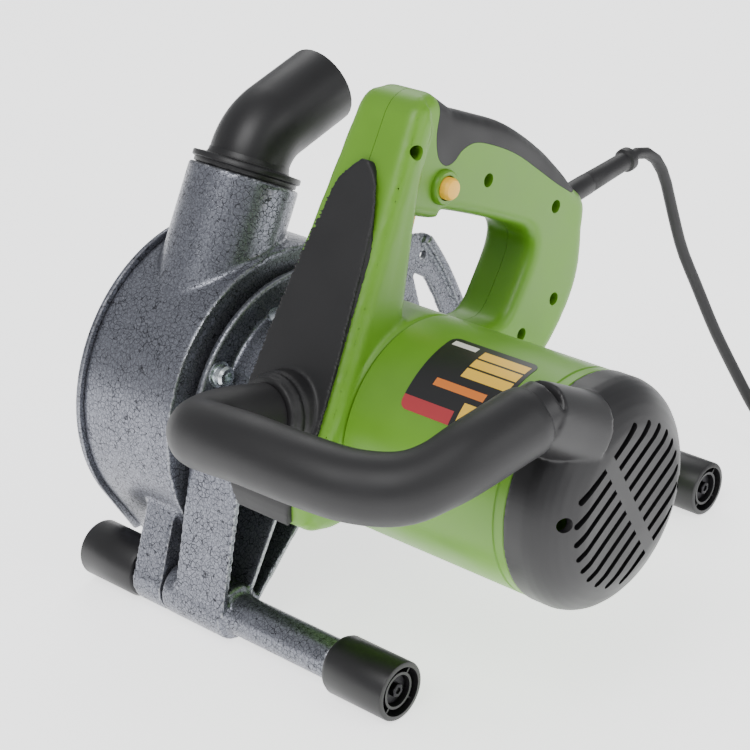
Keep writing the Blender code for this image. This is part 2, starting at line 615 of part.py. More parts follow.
def build_spindle(arm):
    pivot = add_pivot("spindle_axis", NOSE_X0, SPINDLE, arm)
    end_x = STRIP_X1 - 0.0105 + 0.0068
    gear_x0 = ARM_X1 + 0.0060
    gear_x1 = gear_x0 + 0.010
    last = GUARD_LEFT + 0.003
    shaft = turned([(end_x, 0.0), (end_x, 0.0050), (gear_x0 - GAP, 0.0050), (gear_x0 - GAP, SPINDLE_RADIUS),
                    (last, SPINDLE_RADIUS), (last, 0.0)], SPINDLE, 16)
    keep(shaft, "spindle", STEEL, pivot)
    teeth = []
    for i in range(66):
        radius = GEAR_RADIUS if i % 2 else GEAR_RADIUS - 0.0007
        angle = 2 * math.pi * i / 66
        teeth.append((SPINDLE[0] + radius * math.cos(angle), SPINDLE[1] + radius * math.sin(angle)))
    bore = arc(SPINDLE, 0.0050 + GAP, 0, 337.5, 15)
    keep(plate([teeth, bore], gear_x0, gear_x1), "driven_gear", STEEL, pivot)

    x = STACK_X1 + GAP
    keep(ring(x, x + 0.0028, SPINDLE, SPINDLE_RADIUS + GAP, 0.021, 16), "inner_flange", STEEL, pivot)
    x = STACK_X1
    for number in range(1, DISC_COUNT + 1):
        disc = ring(x - DISC_THICKNESS, x, SPINDLE, SPINDLE_RADIUS + GAP, DISC_RADIUS, 32)
        keep(disc, "diamond_disc_%d" % number, DIAMOND, pivot)
        x -= DISC_THICKNESS + GAP
        if number < DISC_COUNT:
            spacer = ring(x - SPACER_LENGTH, x, SPINDLE, SPINDLE_RADIUS + GAP, 0.0175, 16)
            keep(spacer, "disc_spacer_%d" % number, STEEL, pivot)
            x -= SPACER_LENGTH + GAP
    hexagon = arc(SPINDLE, 0.0165, 0, 300, 5)
    bore = arc(SPINDLE, SPINDLE_RADIUS + GAP, 0, 337.5, 15)
    keep(plate([hexagon, bore], x - 0.006, x), "clamp_nut", ZINC, pivot)

    at = lock_button_place()
    pivot = add_pivot("spindle_lock_axis", at(0).x, (at(0).y, at(0).z), arm)
    shape = join(rod(at(-0.018), at(0.0065), 0.0042, 12), rod(at(0.0062), at(0.0092), 0.0058, 12, 0.0050))
    keep(shape, "spindle_lock_button", ZINC, pivot)


def build_motor(arm):
    pivot = add_pivot("motor_axis", BARREL_X0, MOTOR, arm)
    gear_x0 = ARM_X1 + 0.0060
    tail = CAP_X0 + 0.016
    stack_x0 = BARREL_X0 + 0.020
    stack_x1 = stack_x0 + 0.056
    commutator = stack_x1 + 0.012
    profile = [(tail, 0.0), (tail, 0.0040), (commutator + 0.0185, 0.0040), (commutator + 0.0185, 0.0150),
               (commutator, 0.0150), (commutator, SHAFT_RADIUS + 0.001), (stack_x1 + 0.007, 0.0175),
               (stack_x1, 0.0255), (stack_x0, 0.0255), (stack_x0 - 0.007, 0.0175), (stack_x0 - 0.010, SHAFT_RADIUS),
               (gear_x0 + 0.0105, SHAFT_RADIUS), (gear_x0 + 0.0105, PINION_RADIUS), (gear_x0, PINION_RADIUS),
               (gear_x0, 0.0)]
    keep(turned(profile, MOTOR, 16), "armature", COPPER, pivot)
    fan_x = BARREL_X0 - 0.006
    fan = ring(fan_x, fan_x + 0.002, MOTOR, SHAFT_RADIUS + GAP, 0.046, 20)
    fan = join(fan, ring(fan_x - 0.008, fan_x + 0.0016, MOTOR, SHAFT_RADIUS + GAP, 0.010, 12))
    for i in range(7):
        angle = 360 * i / 7
        tip = arc(MOTOR, 0.045, angle - 3, angle + 3, 1) + arc(MOTOR, 0.018, angle + 14, angle + 8, 1)
        fan = join(fan, plate([tip], fan_x - 0.0072, fan_x + 0.0011))
    keep(fan, "cooling_fan", BLACK, pivot)

    keep(ring(stack_x0, stack_x1, MOTOR, 0.0264, STATOR_RADIUS, 24), "stator", IRON, arm)
    barrel = ring(BARREL_X0, BARREL_X1, MOTOR, MOTOR_RADIUS - MOTOR_WALL, MOTOR_RADIUS, 40)
    web = ring(stack_x0 + 0.004, stack_x1 - 0.004, MOTOR, STATOR_RADIUS + 0.0008, MOTOR_RADIUS - 0.001, 40)
    keep(join(barrel, web), "motor_housing", GREEN, arm)
    for side, name in ((-1, "front"), (1, "rear")):
        y0 = MOTOR[0] + side * 0.0153
        y1 = MOTOR[0] + side * 0.034
        low = (commutator + 0.005, min(y0, y1), MOTOR[1] - 0.005)
        high = (commutator + 0.014, max(y0, y1), MOTOR[1] + 0.005)
        keep(box(low, high), "carbon_brush_" + name, CARBON, arm)

    face = CAP_X1
    steps = [(0.0, 1.0), (0.36, 1.0), (0.58, 0.955), (0.76, 0.87), (0.90, 0.75), (1.0, 0.60)]
    outer = [(CAP_X0 + s * CAP_LENGTH, r * (MOTOR_RADIUS + 0.0006)) for s, r in steps]
    inner = [(x - 0.003 * s, r - 0.003) for (x, r), (s, _) in zip(outer, steps)]
    profile = [(face, 0.0)] + outer[::-1] + inner + [(inner[-1][0], 0.0)]
    shape = turned(profile, MOTOR, 36)
    seat = ring(tail - 0.009, face - 0.002, MOTOR, 0.0114, 0.0142, 16)
    shape = join(shape, seat)
    line = bar_line()
    ahead = (line[-1] - line[-2]).normalized()
    shape = join(shape, rod(line[-1] + 0.0004 * ahead, line[-1] + 0.018 * ahead, BAR_RADIUS + 0.0008, 24))
    inside = Vector((CAP_X0 + 0.014, MOTOR[0] - 0.020, MOTOR[1] + 0.047))
    shape = join(shape, rod(line[-1] + 0.0165 * ahead, inside, BAR_RADIUS - 0.001, 20, BAR_RADIUS - 0.003))
    hollow = [(face - 0.0031, 0.0)] + inner[::-1] + [(CAP_X0 - 0.01, inner[0][1]), (CAP_X0 - 0.01, 0.0)]
    room = turned(hollow, MOTOR, 36)
    room = cut(room, cylinder(tail - 0.0091, face, MOTOR, 0.0143, 16))
    shape = cut(shape, room)
    shape = cut(shape, cylinder(BARREL_X0, CAP_X0, MOTOR, MOTOR_RADIUS + RUN, 40))
    lean = math.radians(30)
    for k in range(-4, 5):
        shift = 0.0094 * k
        reach = math.sqrt(0.0470 ** 2 - shift ** 2)
        for side in (-1, 1):
            a, b = side * 0.0042, side * reach
            loop = []
            for u, v in ((a, -0.0018), (b, -0.0018), (b, 0.0018), (a, 0.0018)):
                w = shift + v
                loop.append((MOTOR[0] + u * math.cos(lean) - w * math.sin(lean),
                             MOTOR[1] + u * math.sin(lean) + w * math.cos(lean)))
            shape = cut(shape, plate([loop], face - 0.012, face + 0.01))
    for number, angle in enumerate((170, -10), 1):
        place = arc(MOTOR, 0.0525, angle, angle, 1)[0]
        shape = cut(shape, cylinder(face - 0.022, face + 0.01, place, 0.0040, 10))
        head = cylinder(face - 0.020, face - 0.012, place, 0.0034, 8)
        keep(head, "cap_screw_%d" % number, ZINC, arm)
    keep(shape, "rear_cap", BLACK, arm)
    keep(ring(tail - 0.0085, tail - 0.001, MOTOR, 0.0040 + RUN, 0.0109, 16), "motor_bearing_rear", STEEL, arm)


# ---------------------------------------------------------------- handles, switch and cord
def from_motor(points):
    """Outline points given from the motor's axis."""
    return [(MOTOR[0] + y, MOTOR[1] + z) for y, z in points]


COLUMN_TOP = from_motor([(0.034, 0.166)])[0]
FACE_TOP = from_motor([(0.0159, 0.1761)])[0]
FACE_LOW = from_motor([(-0.0678, 0.0330)])[0]
GRIP_TOP = from_motor([(0.043, 0.182), (0.056, 0.172), (0.079, 0.162), (0.101, 0.152), (0.121, 0.139),
                       (0.142, 0.122), (0.160, 0.104), (0.173, 0.089)])
GRIP_LOW = from_motor([(0.164, 0.090), (0.148, 0.101), (0.130, 0.115), (0.110, 0.130), (0.090, 0.141),
                       (0.072, 0.148), (0.060, 0.147), (0.052, 0.142), (0.044, 0.142), (0.038, 0.149),
                       (0.037, 0.162), (0.040, 0.174)])
POST = from_motor([(0.178, 0.085), (0.182, 0.076), (0.180, 0.062), (0.178, 0.040), (0.171, 0.021),
                   (0.160, 0.006), (0.146, -0.008), (0.126, -0.022), (0.104, -0.030), (0.080, -0.034)])
WINDOW = from_motor([(0.012, 0.121), (0.040, 0.110), (0.045, 0.1135), (0.078, 0.100), (0.108, 0.086),
                     (0.121, 0.079), (0.127, 0.070), (0.124, 0.058), (0.112, 0.040), (0.103, 0.029),
                     (0.093, 0.0255), (0.075, 0.029)])
TRIGGER_AT = from_motor([(0.027, 0.1155)])[0]
TRIGGER_UP = (0.36, 0.933)
LOCK_AT = from_motor([(0.042, 0.1300)])[0]
CHIN = from_motor([(-0.0795, 0.0130), (-0.0880, -0.0030), (-0.0925, -0.0180), (-0.0900, -0.0310), (-0.0800, -0.0400),
                   (-0.0660, -0.0440)])
COLUMN_HALF = [(MOTOR[1] - 0.045, 0.030), (MOTOR[1] + 0.030, 0.0355), (MOTOR[1] + 0.110, 0.0285),
               (MOTOR[1] + 0.187, 0.0240)]
COVER_HALF = [(MOTOR[1] - 0.030, 0.020), (MOTOR[1] + 0.010, 0.029), (MOTOR[1] + 0.030, 0.0305),
              (MOTOR[1] + 0.060, 0.0285), (MOTOR[1] + 0.083, 0.026), (MOTOR[1] + 0.112, 0.0228),
              (MOTOR[1] + 0.128, 0.0198), (MOTOR[1] + 0.138, 0.0168), (MOTOR[1] + 0.145, 0.0130),
              (MOTOR[1] + 0.150, 0.0080), (MOTOR[1] + 0.153, 0.003)]
TRIGGER_AT = from_motor([(0.027, 0.1155)])[0]
TRIGGER_UP = (0.36, 0.933)
LOCK_AT = from_motor([(0.042, 0.1300)])[0]
CHIN = from_motor([(-0.0795, 0.0130), (-0.0880, -0.0030), (-0.0925, -0.0180), (-0.0900, -0.0310), (-0.0800, -0.0400),
                   (-0.0660, -0.0440)])
COLUMN_HALF = [(MOTOR[1] - 0.045, 0.030), (MOTOR[1] + 0.030, 0.0355), (MOTOR[1] + 0.110, 0.0285),
               (MOTOR[1] + 0.187, 0.0240)]
COVER_HALF = [(MOTOR[1] - 0.030, 0.020), (MOTOR[1] + 0.010, 0.031), (MOTOR[1] + 0.060, 0.027),
              (MOTOR[1] + 0.110, 0.021), (MOTOR[1] + 0.138, 0.0135), (MOTOR[1] + 0.150, 0.004)]
CORD_EXIT_DIRECTION = Vector((0, 0.995, 0.095)).normalized()
CORD_EXIT = Vector((HANDLE_X, MOTOR[0] + 0.1945, MOTOR[1] + 0.0775))
RELIEF_LENGTH = 0.058


def front_line():
    """The column's front face from top to chin."""
    return [FACE_TOP, FACE_LOW] + CHIN


def bar_route():
    """Middle line of the bar handle, from its socket on the column to the end cap."""
    y, z = MOTOR
    points = [(HANDLE_X, y - 0.0885, z + 0.0285), (HANDLE_X - 0.001, y - 0.110, z + 0.0345),
              (HANDLE_X - 0.001, y - 0.127, z + 0.0385), (HANDLE_X + 0.007, y - 0.142, z + 0.0420),
              (HANDLE_X + 0.025, BAR_FRONT + 0.001, z + 0.0460), (HANDLE_X + 0.050, BAR_FRONT, z + 0.0485),
              (HANDLE_X + 0.086, BAR_FRONT + 0.002, z + 0.0480), (HANDLE_X + 0.114, y - 0.140, z + 0.0465),
              (HANDLE_X + 0.136, y - 0.128, z + 0.0475), (CAP_X0 - 0.003, y - 0.112, z + 0.0530),
              (CAP_X0 + 0.004, y - 0.092, z + 0.0600), (CAP_X0 + 0.010, y - 0.066, z + 0.0665)]
    return [Vector(p) for p in points]


def bar_line():
    """The bar handle's middle line as closely spaced points."""
    return smooth_route(bar_route(), 0.016)


def handle_outline():
    """Outer outline of the D handle shells without the soft grip's part."""
    top = arc(COLUMN_TOP, 0.020, 150, 75, 4)
    under = arc(MOTOR, MOTOR_RADIUS - 0.006, -35, -135, 6)
    return top + GRIP_LOW[::-1] + POST + under + CHIN[::-1] + [FACE_LOW]


def window_outline():
    can = arc(MOTOR, MOTOR_RADIUS - 0.006, 24, 88, 4)
    return WINDOW + can + from_motor([(0.002, 0.0750)])


def build_shells(arm):
    column = arc(COLUMN_TOP, 0.020, 150, 100, 4) + from_motor([(0.034, 0.166), (0.020, 0.140), (0.010, 0.121),
                                                             (0.000, 0.078), (-0.005, 0.060)])
    column += arc(MOTOR, MOTOR_RADIUS - 0.006, 95, 228, 8) + CHIN[::-1] + [FACE_LOW]
    column_room = from_motor([(0.0225, 0.1765), (0.030, 0.172), (0.016, 0.139), (0.006, 0.118), (-0.004, 0.077)])
    column_room += arc(MOTOR, MOTOR_RADIUS - 0.0116, 105, 200, 4)
    column_room += from_motor([(-0.0872, -0.0240), (-0.0888, -0.0165), (-0.0846, -0.0015), (-0.0762, 0.0145),
                               (-0.0650, 0.0314)])
    for name, side in (("right", 1), ("left", -1)):
        split = HANDLE_X + side * GAP / 2
        face = HANDLE_X + side * HANDLE_HALF
        end = CAN_RIGHT if side > 0 else CAN_LEFT + GAP
        near, far = min(split, face), max(split, face)
        beyond = split - side * 0.01
        shape = plate([inset(handle_outline(), 0.0004), window_outline()], min(beyond, face), max(beyond, face))
        wide = spread(plate([column], HANDLE_X - 0.03, HANDLE_X + 0.03), HANDLE_X,
                      lambda z: along(COLUMN_HALF, z))
        shape = join(shape, wide)
        start = beyond - side * 0.0031
        shape = join(shape, cylinder(min(start, end), max(start, end), MOTOR, MOTOR_RADIUS, 40))
        if side > 0:
            shape = join(shape, cylinder(face - 0.001, face + 0.0035, LOCK_AT, 0.0105, 20, 0.0095))
        # rooms inside the shell
        wall = face - side * SHELL_WALL
        further = beyond - side * 0.03
        room = plate([inset(handle_outline(), SHELL_WALL), inset(window_outline(), -SHELL_WALL)],
                     min(further, wall), max(further, wall))
        shape = cut(shape, room)
        room = spread(plate([column_room], HANDLE_X - 0.03, HANDLE_X + 0.03), HANDLE_X,
                      lambda z: along(COLUMN_HALF, z) - SHELL_WALL)
        shape = cut(shape, room)
        shape = cut(shape, cylinder(min(further, end) - 0.01, max(further, end) + 0.01, MOTOR,
                                    MOTOR_RADIUS - SHELL_WALL - 0.001, 40))
        other = (split - 1, split) if side > 0 else (split, split + 1)
        shape = cut(shape, box((other[0], -1, -1), (other[1], 1, 1)))
        u, up = Vector((TRIGGER_UP[1], -TRIGGER_UP[0])), Vector(TRIGGER_UP)
        centre = Vector(TRIGGER_AT)
        slot = [centre + u * s + up * t for s, t in ((-0.0095, -0.010), (0.0095, -0.010),
                                                     (0.0095, 0.012), (-0.0095, 0.012))]
        shape = cut(shape, plate([[tuple(p) for p in slot]], HANDLE_X - 0.0075, HANDLE_X + 0.0075))
        shape = cut(shape, rod(CORD_EXIT - 0.03 * CORD_EXIT_DIRECTION, CORD_EXIT + 0.03 * CORD_EXIT_DIRECTION,
                               0.0074, 14))
        socket = bar_route()[0]
        shape = cut(shape, rod(socket + Vector((0, 0.03, -0.010)), socket - Vector((0, 0.03, -0.010)), 0.0062, 10))
        if side > 0:
            shape = cut(shape, cylinder(split - 0.01, face + 0.02, LOCK_AT, 0.0074, 16))
            for y, z in from_motor([(0.015, 0.159), (0.083, 0.122), (0.148, 0.086), (0.147, 0.025), (0.115, 0.012)]):
                shape = cut(shape, cylinder(face - 0.0012, face + 0.01, (y, z), 0.0042, 10))
        keep(shape, "handle_shell_" + name, GREEN, arm)


def build_trims(arm):
    lift = GAP
    line = front_line()
    face = [tuple(Vector(line[0]).lerp(Vector(line[1]), share)) for share in (0.163, 0.190, 0.225, 0.300, 0.450)]
    line = face + line[1:-2]
    outer, inner = [], []
    for before, here, after in zip(line[:1] + line[:-1], line, line[1:] + line[-1:]):
        run = (Vector(after) - Vector(before)).normalized()
        normal = Vector((run.y, -run.x))
        inner.append(tuple(Vector(here) + normal * lift))
        outer.append(tuple(Vector(here) + normal * (lift + 0.003)))
    shape = spread(plate([outer + inner[::-1]], HANDLE_X - 0.01, HANDLE_X + 0.01), HANDLE_X,
                   lambda z: along(COVER_HALF, z))
    line = bar_line()
    away = (line[1] - line[0]).normalized()
    shape = join(shape, rod(line[0] - 0.0135 * away, line[0] - 0.0004 * away, BAR_RADIUS + 0.0055, 24,
                            BAR_RADIUS + 0.0035))
    shape = cut(shape, rod(line[0] - 0.03 * away, line[0] + 0.02 * away, 0.0062, 10))
    room = plate([inset(handle_outline(), -GAP)], HANDLE_X - 0.06, HANDLE_X + 0.06)
    keep(cut(shape, room), "spine_cover", GRIP, arm)

    saddle = GRIP_TOP + [(y, z + 0.0004) for y, z in GRIP_LOW]
    shape = plate([saddle], HANDLE_X - HANDLE_HALF - 0.0005, HANDLE_X + HANDLE_HALF + 0.0005)
    keep(shape, "soft_grip", GRIP, arm)


def build_bar(arm):
    keep(pipe(bar_line(), BAR_RADIUS, 4), "bar_handle", GRIP, arm)


def build_switch(arm):
    u, up = Vector((TRIGGER_UP[1], -TRIGGER_UP[0])), Vector(TRIGGER_UP)
    centre = Vector(TRIGGER_AT)
    pivot = add_pivot("trigger_axis", HANDLE_X, TRIGGER_AT, arm)
    shape = [centre + u * s + up * t for s, t in ((-0.0085, 0.0075), (-0.0085, -0.012), (-0.0065, -0.0195),
                                                  (0.0055, -0.0195), (0.0085, -0.012), (0.0085, 0.0075))]
    keep(plate([[tuple(p) for p in shape]], HANDLE_X - 0.0070, HANDLE_X + 0.0070), "trigger", YELLOW, pivot)
    face = HANDLE_X + HANDLE_HALF
    pivot = add_pivot("lock_off_axis", face, LOCK_AT, arm)
    profile = [(face + 0.0085, 0.0), (face + 0.0085, 0.0050), (face + 0.0070, 0.0066), (face - 0.0085, 0.0066),
               (face - 0.0085, 0.0)]
    keep(turned(profile, LOCK_AT, 16), "lock_off_button", YELLOW, pivot)
    body = [centre + u * s + up * t for s, t in ((-0.012, 0.0145), (0.030, 0.0145), (0.030, 0.0275),
                                                 (-0.012, 0.0275))]
    keep(plate([[tuple(p) for p in body]], HANDLE_X - 0.0085, HANDLE_X + 0.0035), "switch_body", BLACK, arm)


# the cord's route in metres from the end of its strain relief; the floor is at the last height
CORD_ROUTE = [(0.000, 0.000, 0.000), (0.000, 0.009, 0.0004), (0.0005, 0.019, -0.003), (0.002, 0.0285, -0.0115),
              (0.004, 0.035, -0.026), (0.007, 0.040, -0.048), (0.012, 0.046, -0.076), (0.020, 0.054, -0.104),
              (0.030, 0.064, -0.138),
              (0.043, 0.073, -0.170), (0.056, 0.077, -0.193), (0.071, 0.076, -0.208), (0.090, 0.0700, -0.2145),
              (0.1065, 0.0615, -0.2153), (0.1230, 0.0470, -0.2153)]
COIL_RADIUS = 0.0476
COIL_HALF_WIDTH = 0.0212
COIL_HEIGHT = 0.0168
FLOOR_REST = 0.0003
PLUG_RADIUS = 0.0165


def cord_points():
    end = CORD_EXIT + (RELIEF_LENGTH + 0.0022) * CORD_EXIT_DIRECTION
    points = [end + Vector(p) for p in CORD_ROUTE]
    centre = coil_centre()
    reach, side = COIL_RADIUS + COIL_HALF_WIDTH + CORD_RADIUS + 2 * GAP, math.radians(205)
    points.append(Vector((centre.x + reach * math.cos(side), centre.y + reach * math.sin(side), 0.0)))
    for point in points[-4:]:
        point.z = FLOOR_REST + CORD_RADIUS
    return points


def coil_centre():
    return Vector((HANDLE_X + 0.205, CORD_EXIT.y + RELIEF_LENGTH + 0.066, 0.0))


def build_cord(arm, root):
    end = CORD_EXIT + RELIEF_LENGTH * CORD_EXIT_DIRECTION
    start = CORD_EXIT - 0.012 * CORD_EXIT_DIRECTION
    shape = rod(start, end, 0.0066, 16, 0.0056)
    shape = join(shape, rod(end - 0.004 * CORD_EXIT_DIRECTION, end + 0.001 * CORD_EXIT_DIRECTION, 0.0078, 16))
    keep(shape, "strain_relief", RUBBER, arm)

    keep(pipe(smooth_route(cord_points(), 0.012), CORD_RADIUS, 2), "power_cord", RUBBER, root)

    centre = coil_centre()
    low, high = FLOOR_REST, FLOOR_REST + COIL_HEIGHT
    inner, outer = COIL_RADIUS - COIL_HALF_WIDTH, COIL_RADIUS + COIL_HALF_WIDTH
    soft = 0.004
    profile = [(inner + soft, high), (outer - soft, high), (outer, high - soft), (outer, low + soft),
               (outer - soft, low), (inner + soft, low), (inner, low + soft), (inner, high - soft)]
    keep(turned_upright(profile, centre, 28), "cord_coil", RUBBER, root)

    height = FLOOR_REST + PLUG_RADIUS
    base = Vector((centre.x + 0.040, centre.y - outer + CORD_RADIUS, height))
    along_x = Vector((1, 0, 0))
    shape = rod(base, base + 0.026 * along_x, CORD_RADIUS + 0.0012, 12, CORD_RADIUS + 0.0030)
    shape = join(shape, rod(base + 0.024 * along_x, base + 0.060 * along_x, PLUG_RADIUS - 0.004, 20, PLUG_RADIUS))
    for side in (-1, 1):
        pin = base + Vector((0.058, side * 0.0095, 0.0))
        shape = join(shape, rod(pin, pin + 0.021 * along_x, 0.0024, 10))
    keep(shape, "mains_plug", RUBBER, root)


def build_machine():
    root = add_pivot("wall_chaser", X_MID, (Y_MID, 0.0))
    root.location = (0.0, 0.0, 0.0)
    arm = add_pivot("plunge_axis", STRIP_X1, PIVOT, root)
    build_guard(root)
    build_rear_frame(root)
    build_rollers(root)
    build_elbow(root)
    build_arm(arm)
    build_spindle(arm)
    build_motor(arm)
    build_shells(arm)
    build_trims(arm)
    build_bar(arm)
    build_switch(arm)
    build_cord(arm, root)


clear_scene()
PARTS = make_collection("wall_chaser")
CUTTERS = make_collection("cutters")
build_machine()
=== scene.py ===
"""Wall chaser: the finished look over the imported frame, laid out as an add-on."""

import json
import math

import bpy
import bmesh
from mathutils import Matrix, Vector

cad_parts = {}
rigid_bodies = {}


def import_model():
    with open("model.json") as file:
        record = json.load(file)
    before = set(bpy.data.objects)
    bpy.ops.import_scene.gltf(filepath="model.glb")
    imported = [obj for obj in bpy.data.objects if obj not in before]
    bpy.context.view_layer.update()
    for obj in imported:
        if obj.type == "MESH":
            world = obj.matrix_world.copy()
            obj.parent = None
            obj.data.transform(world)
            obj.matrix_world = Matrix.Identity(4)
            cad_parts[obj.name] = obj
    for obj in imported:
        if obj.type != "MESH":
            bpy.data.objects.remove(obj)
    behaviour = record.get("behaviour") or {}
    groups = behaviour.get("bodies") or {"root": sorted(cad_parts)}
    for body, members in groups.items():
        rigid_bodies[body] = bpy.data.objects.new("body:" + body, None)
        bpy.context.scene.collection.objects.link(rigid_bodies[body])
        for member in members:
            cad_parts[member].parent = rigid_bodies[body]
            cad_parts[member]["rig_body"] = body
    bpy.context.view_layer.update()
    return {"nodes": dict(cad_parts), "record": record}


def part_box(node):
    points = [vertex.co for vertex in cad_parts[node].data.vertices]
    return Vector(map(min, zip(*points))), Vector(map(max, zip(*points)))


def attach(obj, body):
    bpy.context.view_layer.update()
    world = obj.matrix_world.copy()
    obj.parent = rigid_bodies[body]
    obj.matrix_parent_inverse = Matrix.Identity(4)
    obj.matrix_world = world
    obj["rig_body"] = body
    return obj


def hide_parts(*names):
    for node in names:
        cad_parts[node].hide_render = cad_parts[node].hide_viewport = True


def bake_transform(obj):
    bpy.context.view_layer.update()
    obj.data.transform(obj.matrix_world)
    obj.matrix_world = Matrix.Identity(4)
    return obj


bl_info = {
    "name": "Wall chaser",
    "version": (1, 0, 0),
    "blender": (4, 5, 0),
    "location": "View3D > Sidebar > Wall chaser",
    "description": "Builds a hand-held wall chaser with a plunging motor unit over its moving frame",
    "category": "Add Mesh",
}

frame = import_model()

# ---------------------------------------------------------------- places, read from the frame
JOINTS = {joint["name"]: joint for joint in frame["record"]["behaviour"]["joints"]}


def joint_place(name):
    """A joint's place in the side plane, as (y, z)."""
    return tuple(JOINTS[name]["pos_m"][1:])


PIVOT = joint_place("plunge")
SPINDLE = joint_place("spindle_spin")
MOTOR = joint_place("rotor_spin")
REAR = joint_place("rear_right_roll")
MOUTH = Vector(JOINTS["elbow_turn"]["pos_m"])
NOZZLE_AXIS = Vector(JOINTS["elbow_turn"]["axis"]).normalized()
PLUNGE = math.radians(JOINTS["plunge"]["range_deg"][1])
GUARD_X0, GUARD_X1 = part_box("guard_drum")[0][0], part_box("guard_drum")[1][0]
COVER_X0, COVER_X1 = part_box("guard_cover")[0][0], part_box("guard_cover")[1][0]
GAP = 0.0003                    # between two pieces that do not touch
FRAME_X0 = GUARD_X1 + GAP
FRAME_X1 = FRAME_X0 + 0.0042
ARM_X0 = FRAME_X1 + GAP
ARM_X1 = ARM_X0 + 0.005
STRIP_X1 = ARM_X0 + 0.042
HANDLE_X = STRIP_X1 + GAP + 0.036
BARREL_X0, BARREL_X1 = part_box("motor_housing")[0][0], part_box("motor_housing")[1][0]
CAP_X0, CAP_X1 = BARREL_X1 + GAP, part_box("rear_cap")[1][0]
TUBE_X1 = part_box("arm_casting")[1][0]
ROLLER_R = 0.018
DISC_R = 0.090
GUARD_R = 0.100
NOZZLE_R = 0.0345
NOZZLE_LENGTH = 0.0907
ELBOW_R = 0.0250
ELBOW_WALL = 0.0026
ELBOW_BEND = 0.035              # radius of its middle line
ELBOW_CORNER = 0.0265           # where its two straight ends would meet, along the nozzle
AXLE_HOLE = 0.0063
MOTOR_R = 0.0656
CASE = (MOTOR[0] + 0.006, MOTOR[1] - 0.0146)
CASE_R = 0.058


# ---------------------------------------------------------------- sizes and colours a user may change
class ChaserSizes(bpy.types.PropertyGroup):
    crack_cell: bpy.props.FloatProperty(name="Crackle cell", description="Width of one island of the paint",
                                        default=0.0031, min=0.0005, max=0.01, unit="LENGTH")
    slot_width: bpy.props.FloatProperty(name="Vent slot", description="Width of a slot in the end cap",
                                        default=0.0038, min=0.001, max=0.006, unit="LENGTH")


class ChaserColours(bpy.types.PropertyGroup):
    shell: bpy.props.StringProperty(name="Shell", description="Moulded shell colour, sRGB hex",
                                    default="#5F9120")
    trim: bpy.props.StringProperty(name="Trim", description="Moulded black parts, sRGB hex",
                                   default="#161517")
    grip: bpy.props.StringProperty(name="Grip", description="Soft overmould colour, sRGB hex",
                                   default="#131214")
    button: bpy.props.StringProperty(name="Buttons", description="Trigger and button colour, sRGB hex",
                                     default="#FFC23A")
    paint: bpy.props.StringProperty(name="Paint", description="Islands of the cracked paint, sRGB hex",
                                    default="#74767F")


# ---------------------------------------------------------------- material nodes
def linear(code):
    """sRGB hex to the linear colour that shaders take."""
    values = [int(code[i:i + 2], 16) / 255 for i in (1, 3, 5)]
    return [v / 12.92 if v <= 0.04045 else ((v + 0.055) / 1.055) ** 2.4 for v in values] + [1.0]


def node(tree, kind, settings=None, values=None, links=None):
    """Add a node with its settings, socket values and incoming links."""
    made = tree.nodes.new("ShaderNode" + kind)
    for key, value in (settings or {}).items():
        setattr(made, key, value)
    for key, value in (values or {}).items():
        made.inputs[key].default_value = value
    for key, source in (links or {}).items():
        tree.links.new(source, made.inputs[key])
    return made


def blank(name, roughness, metallic=0.0, colour=None, ior=1.5):
    """A new material with its Principled shader set, and object coordinates to work from."""
    made = bpy.data.materials.new(name)
    made.use_nodes = True
    tree = made.node_tree
    shader = tree.nodes["Principled BSDF"]
    shader.inputs["Roughness"].default_value = roughness
    shader.inputs["Metallic"].default_value = metallic
    if not metallic:
        shader.inputs["IOR"].default_value = ior
    if colour:
        shader.inputs["Base Color"].default_value = linear(colour)
        made.diffuse_color = linear(colour)
    place = node(tree, "TexCoord").outputs["Object"]
    return made, tree, shader, place


def ramp(tree, source, stops):
    """A colour ramp over (position, hex colour) stops."""
    made = node(tree, "ValToRGB", links={"Fac": source})
    for element, (position, code) in zip(made.color_ramp.elements, (stops[0], stops[-1])):
        element.position, element.color = position, linear(code)
    for position, code in stops[1:-1]:
        made.color_ramp.elements.new(position).color = linear(code)
    return made.outputs["Color"]


def noise(tree, place, scale, detail=2.0):
    made = node(tree, "TexNoise", values={"Scale": scale, "Detail": detail}, links={"Vector": place})
    return made.outputs["Fac"]


def ranged(tree, source, low, high, start=0.3, end=0.7):
    """The source's values from start to end, carried over to low to high."""
    return node(tree, "MapRange", values={"From Min": start, "From Max": end, "To Min": low, "To Max": high},
                links={"Value": source}).outputs[0]


def relief(tree, shader, height, strength, distance):
    """Raise the surface a little where height is high."""
    bump = node(tree, "Bump", values={"Strength": strength, "Distance": distance}, links={"Height": height})
    tree.links.new(bump.outputs[0], shader.inputs["Normal"])


MADE = {}


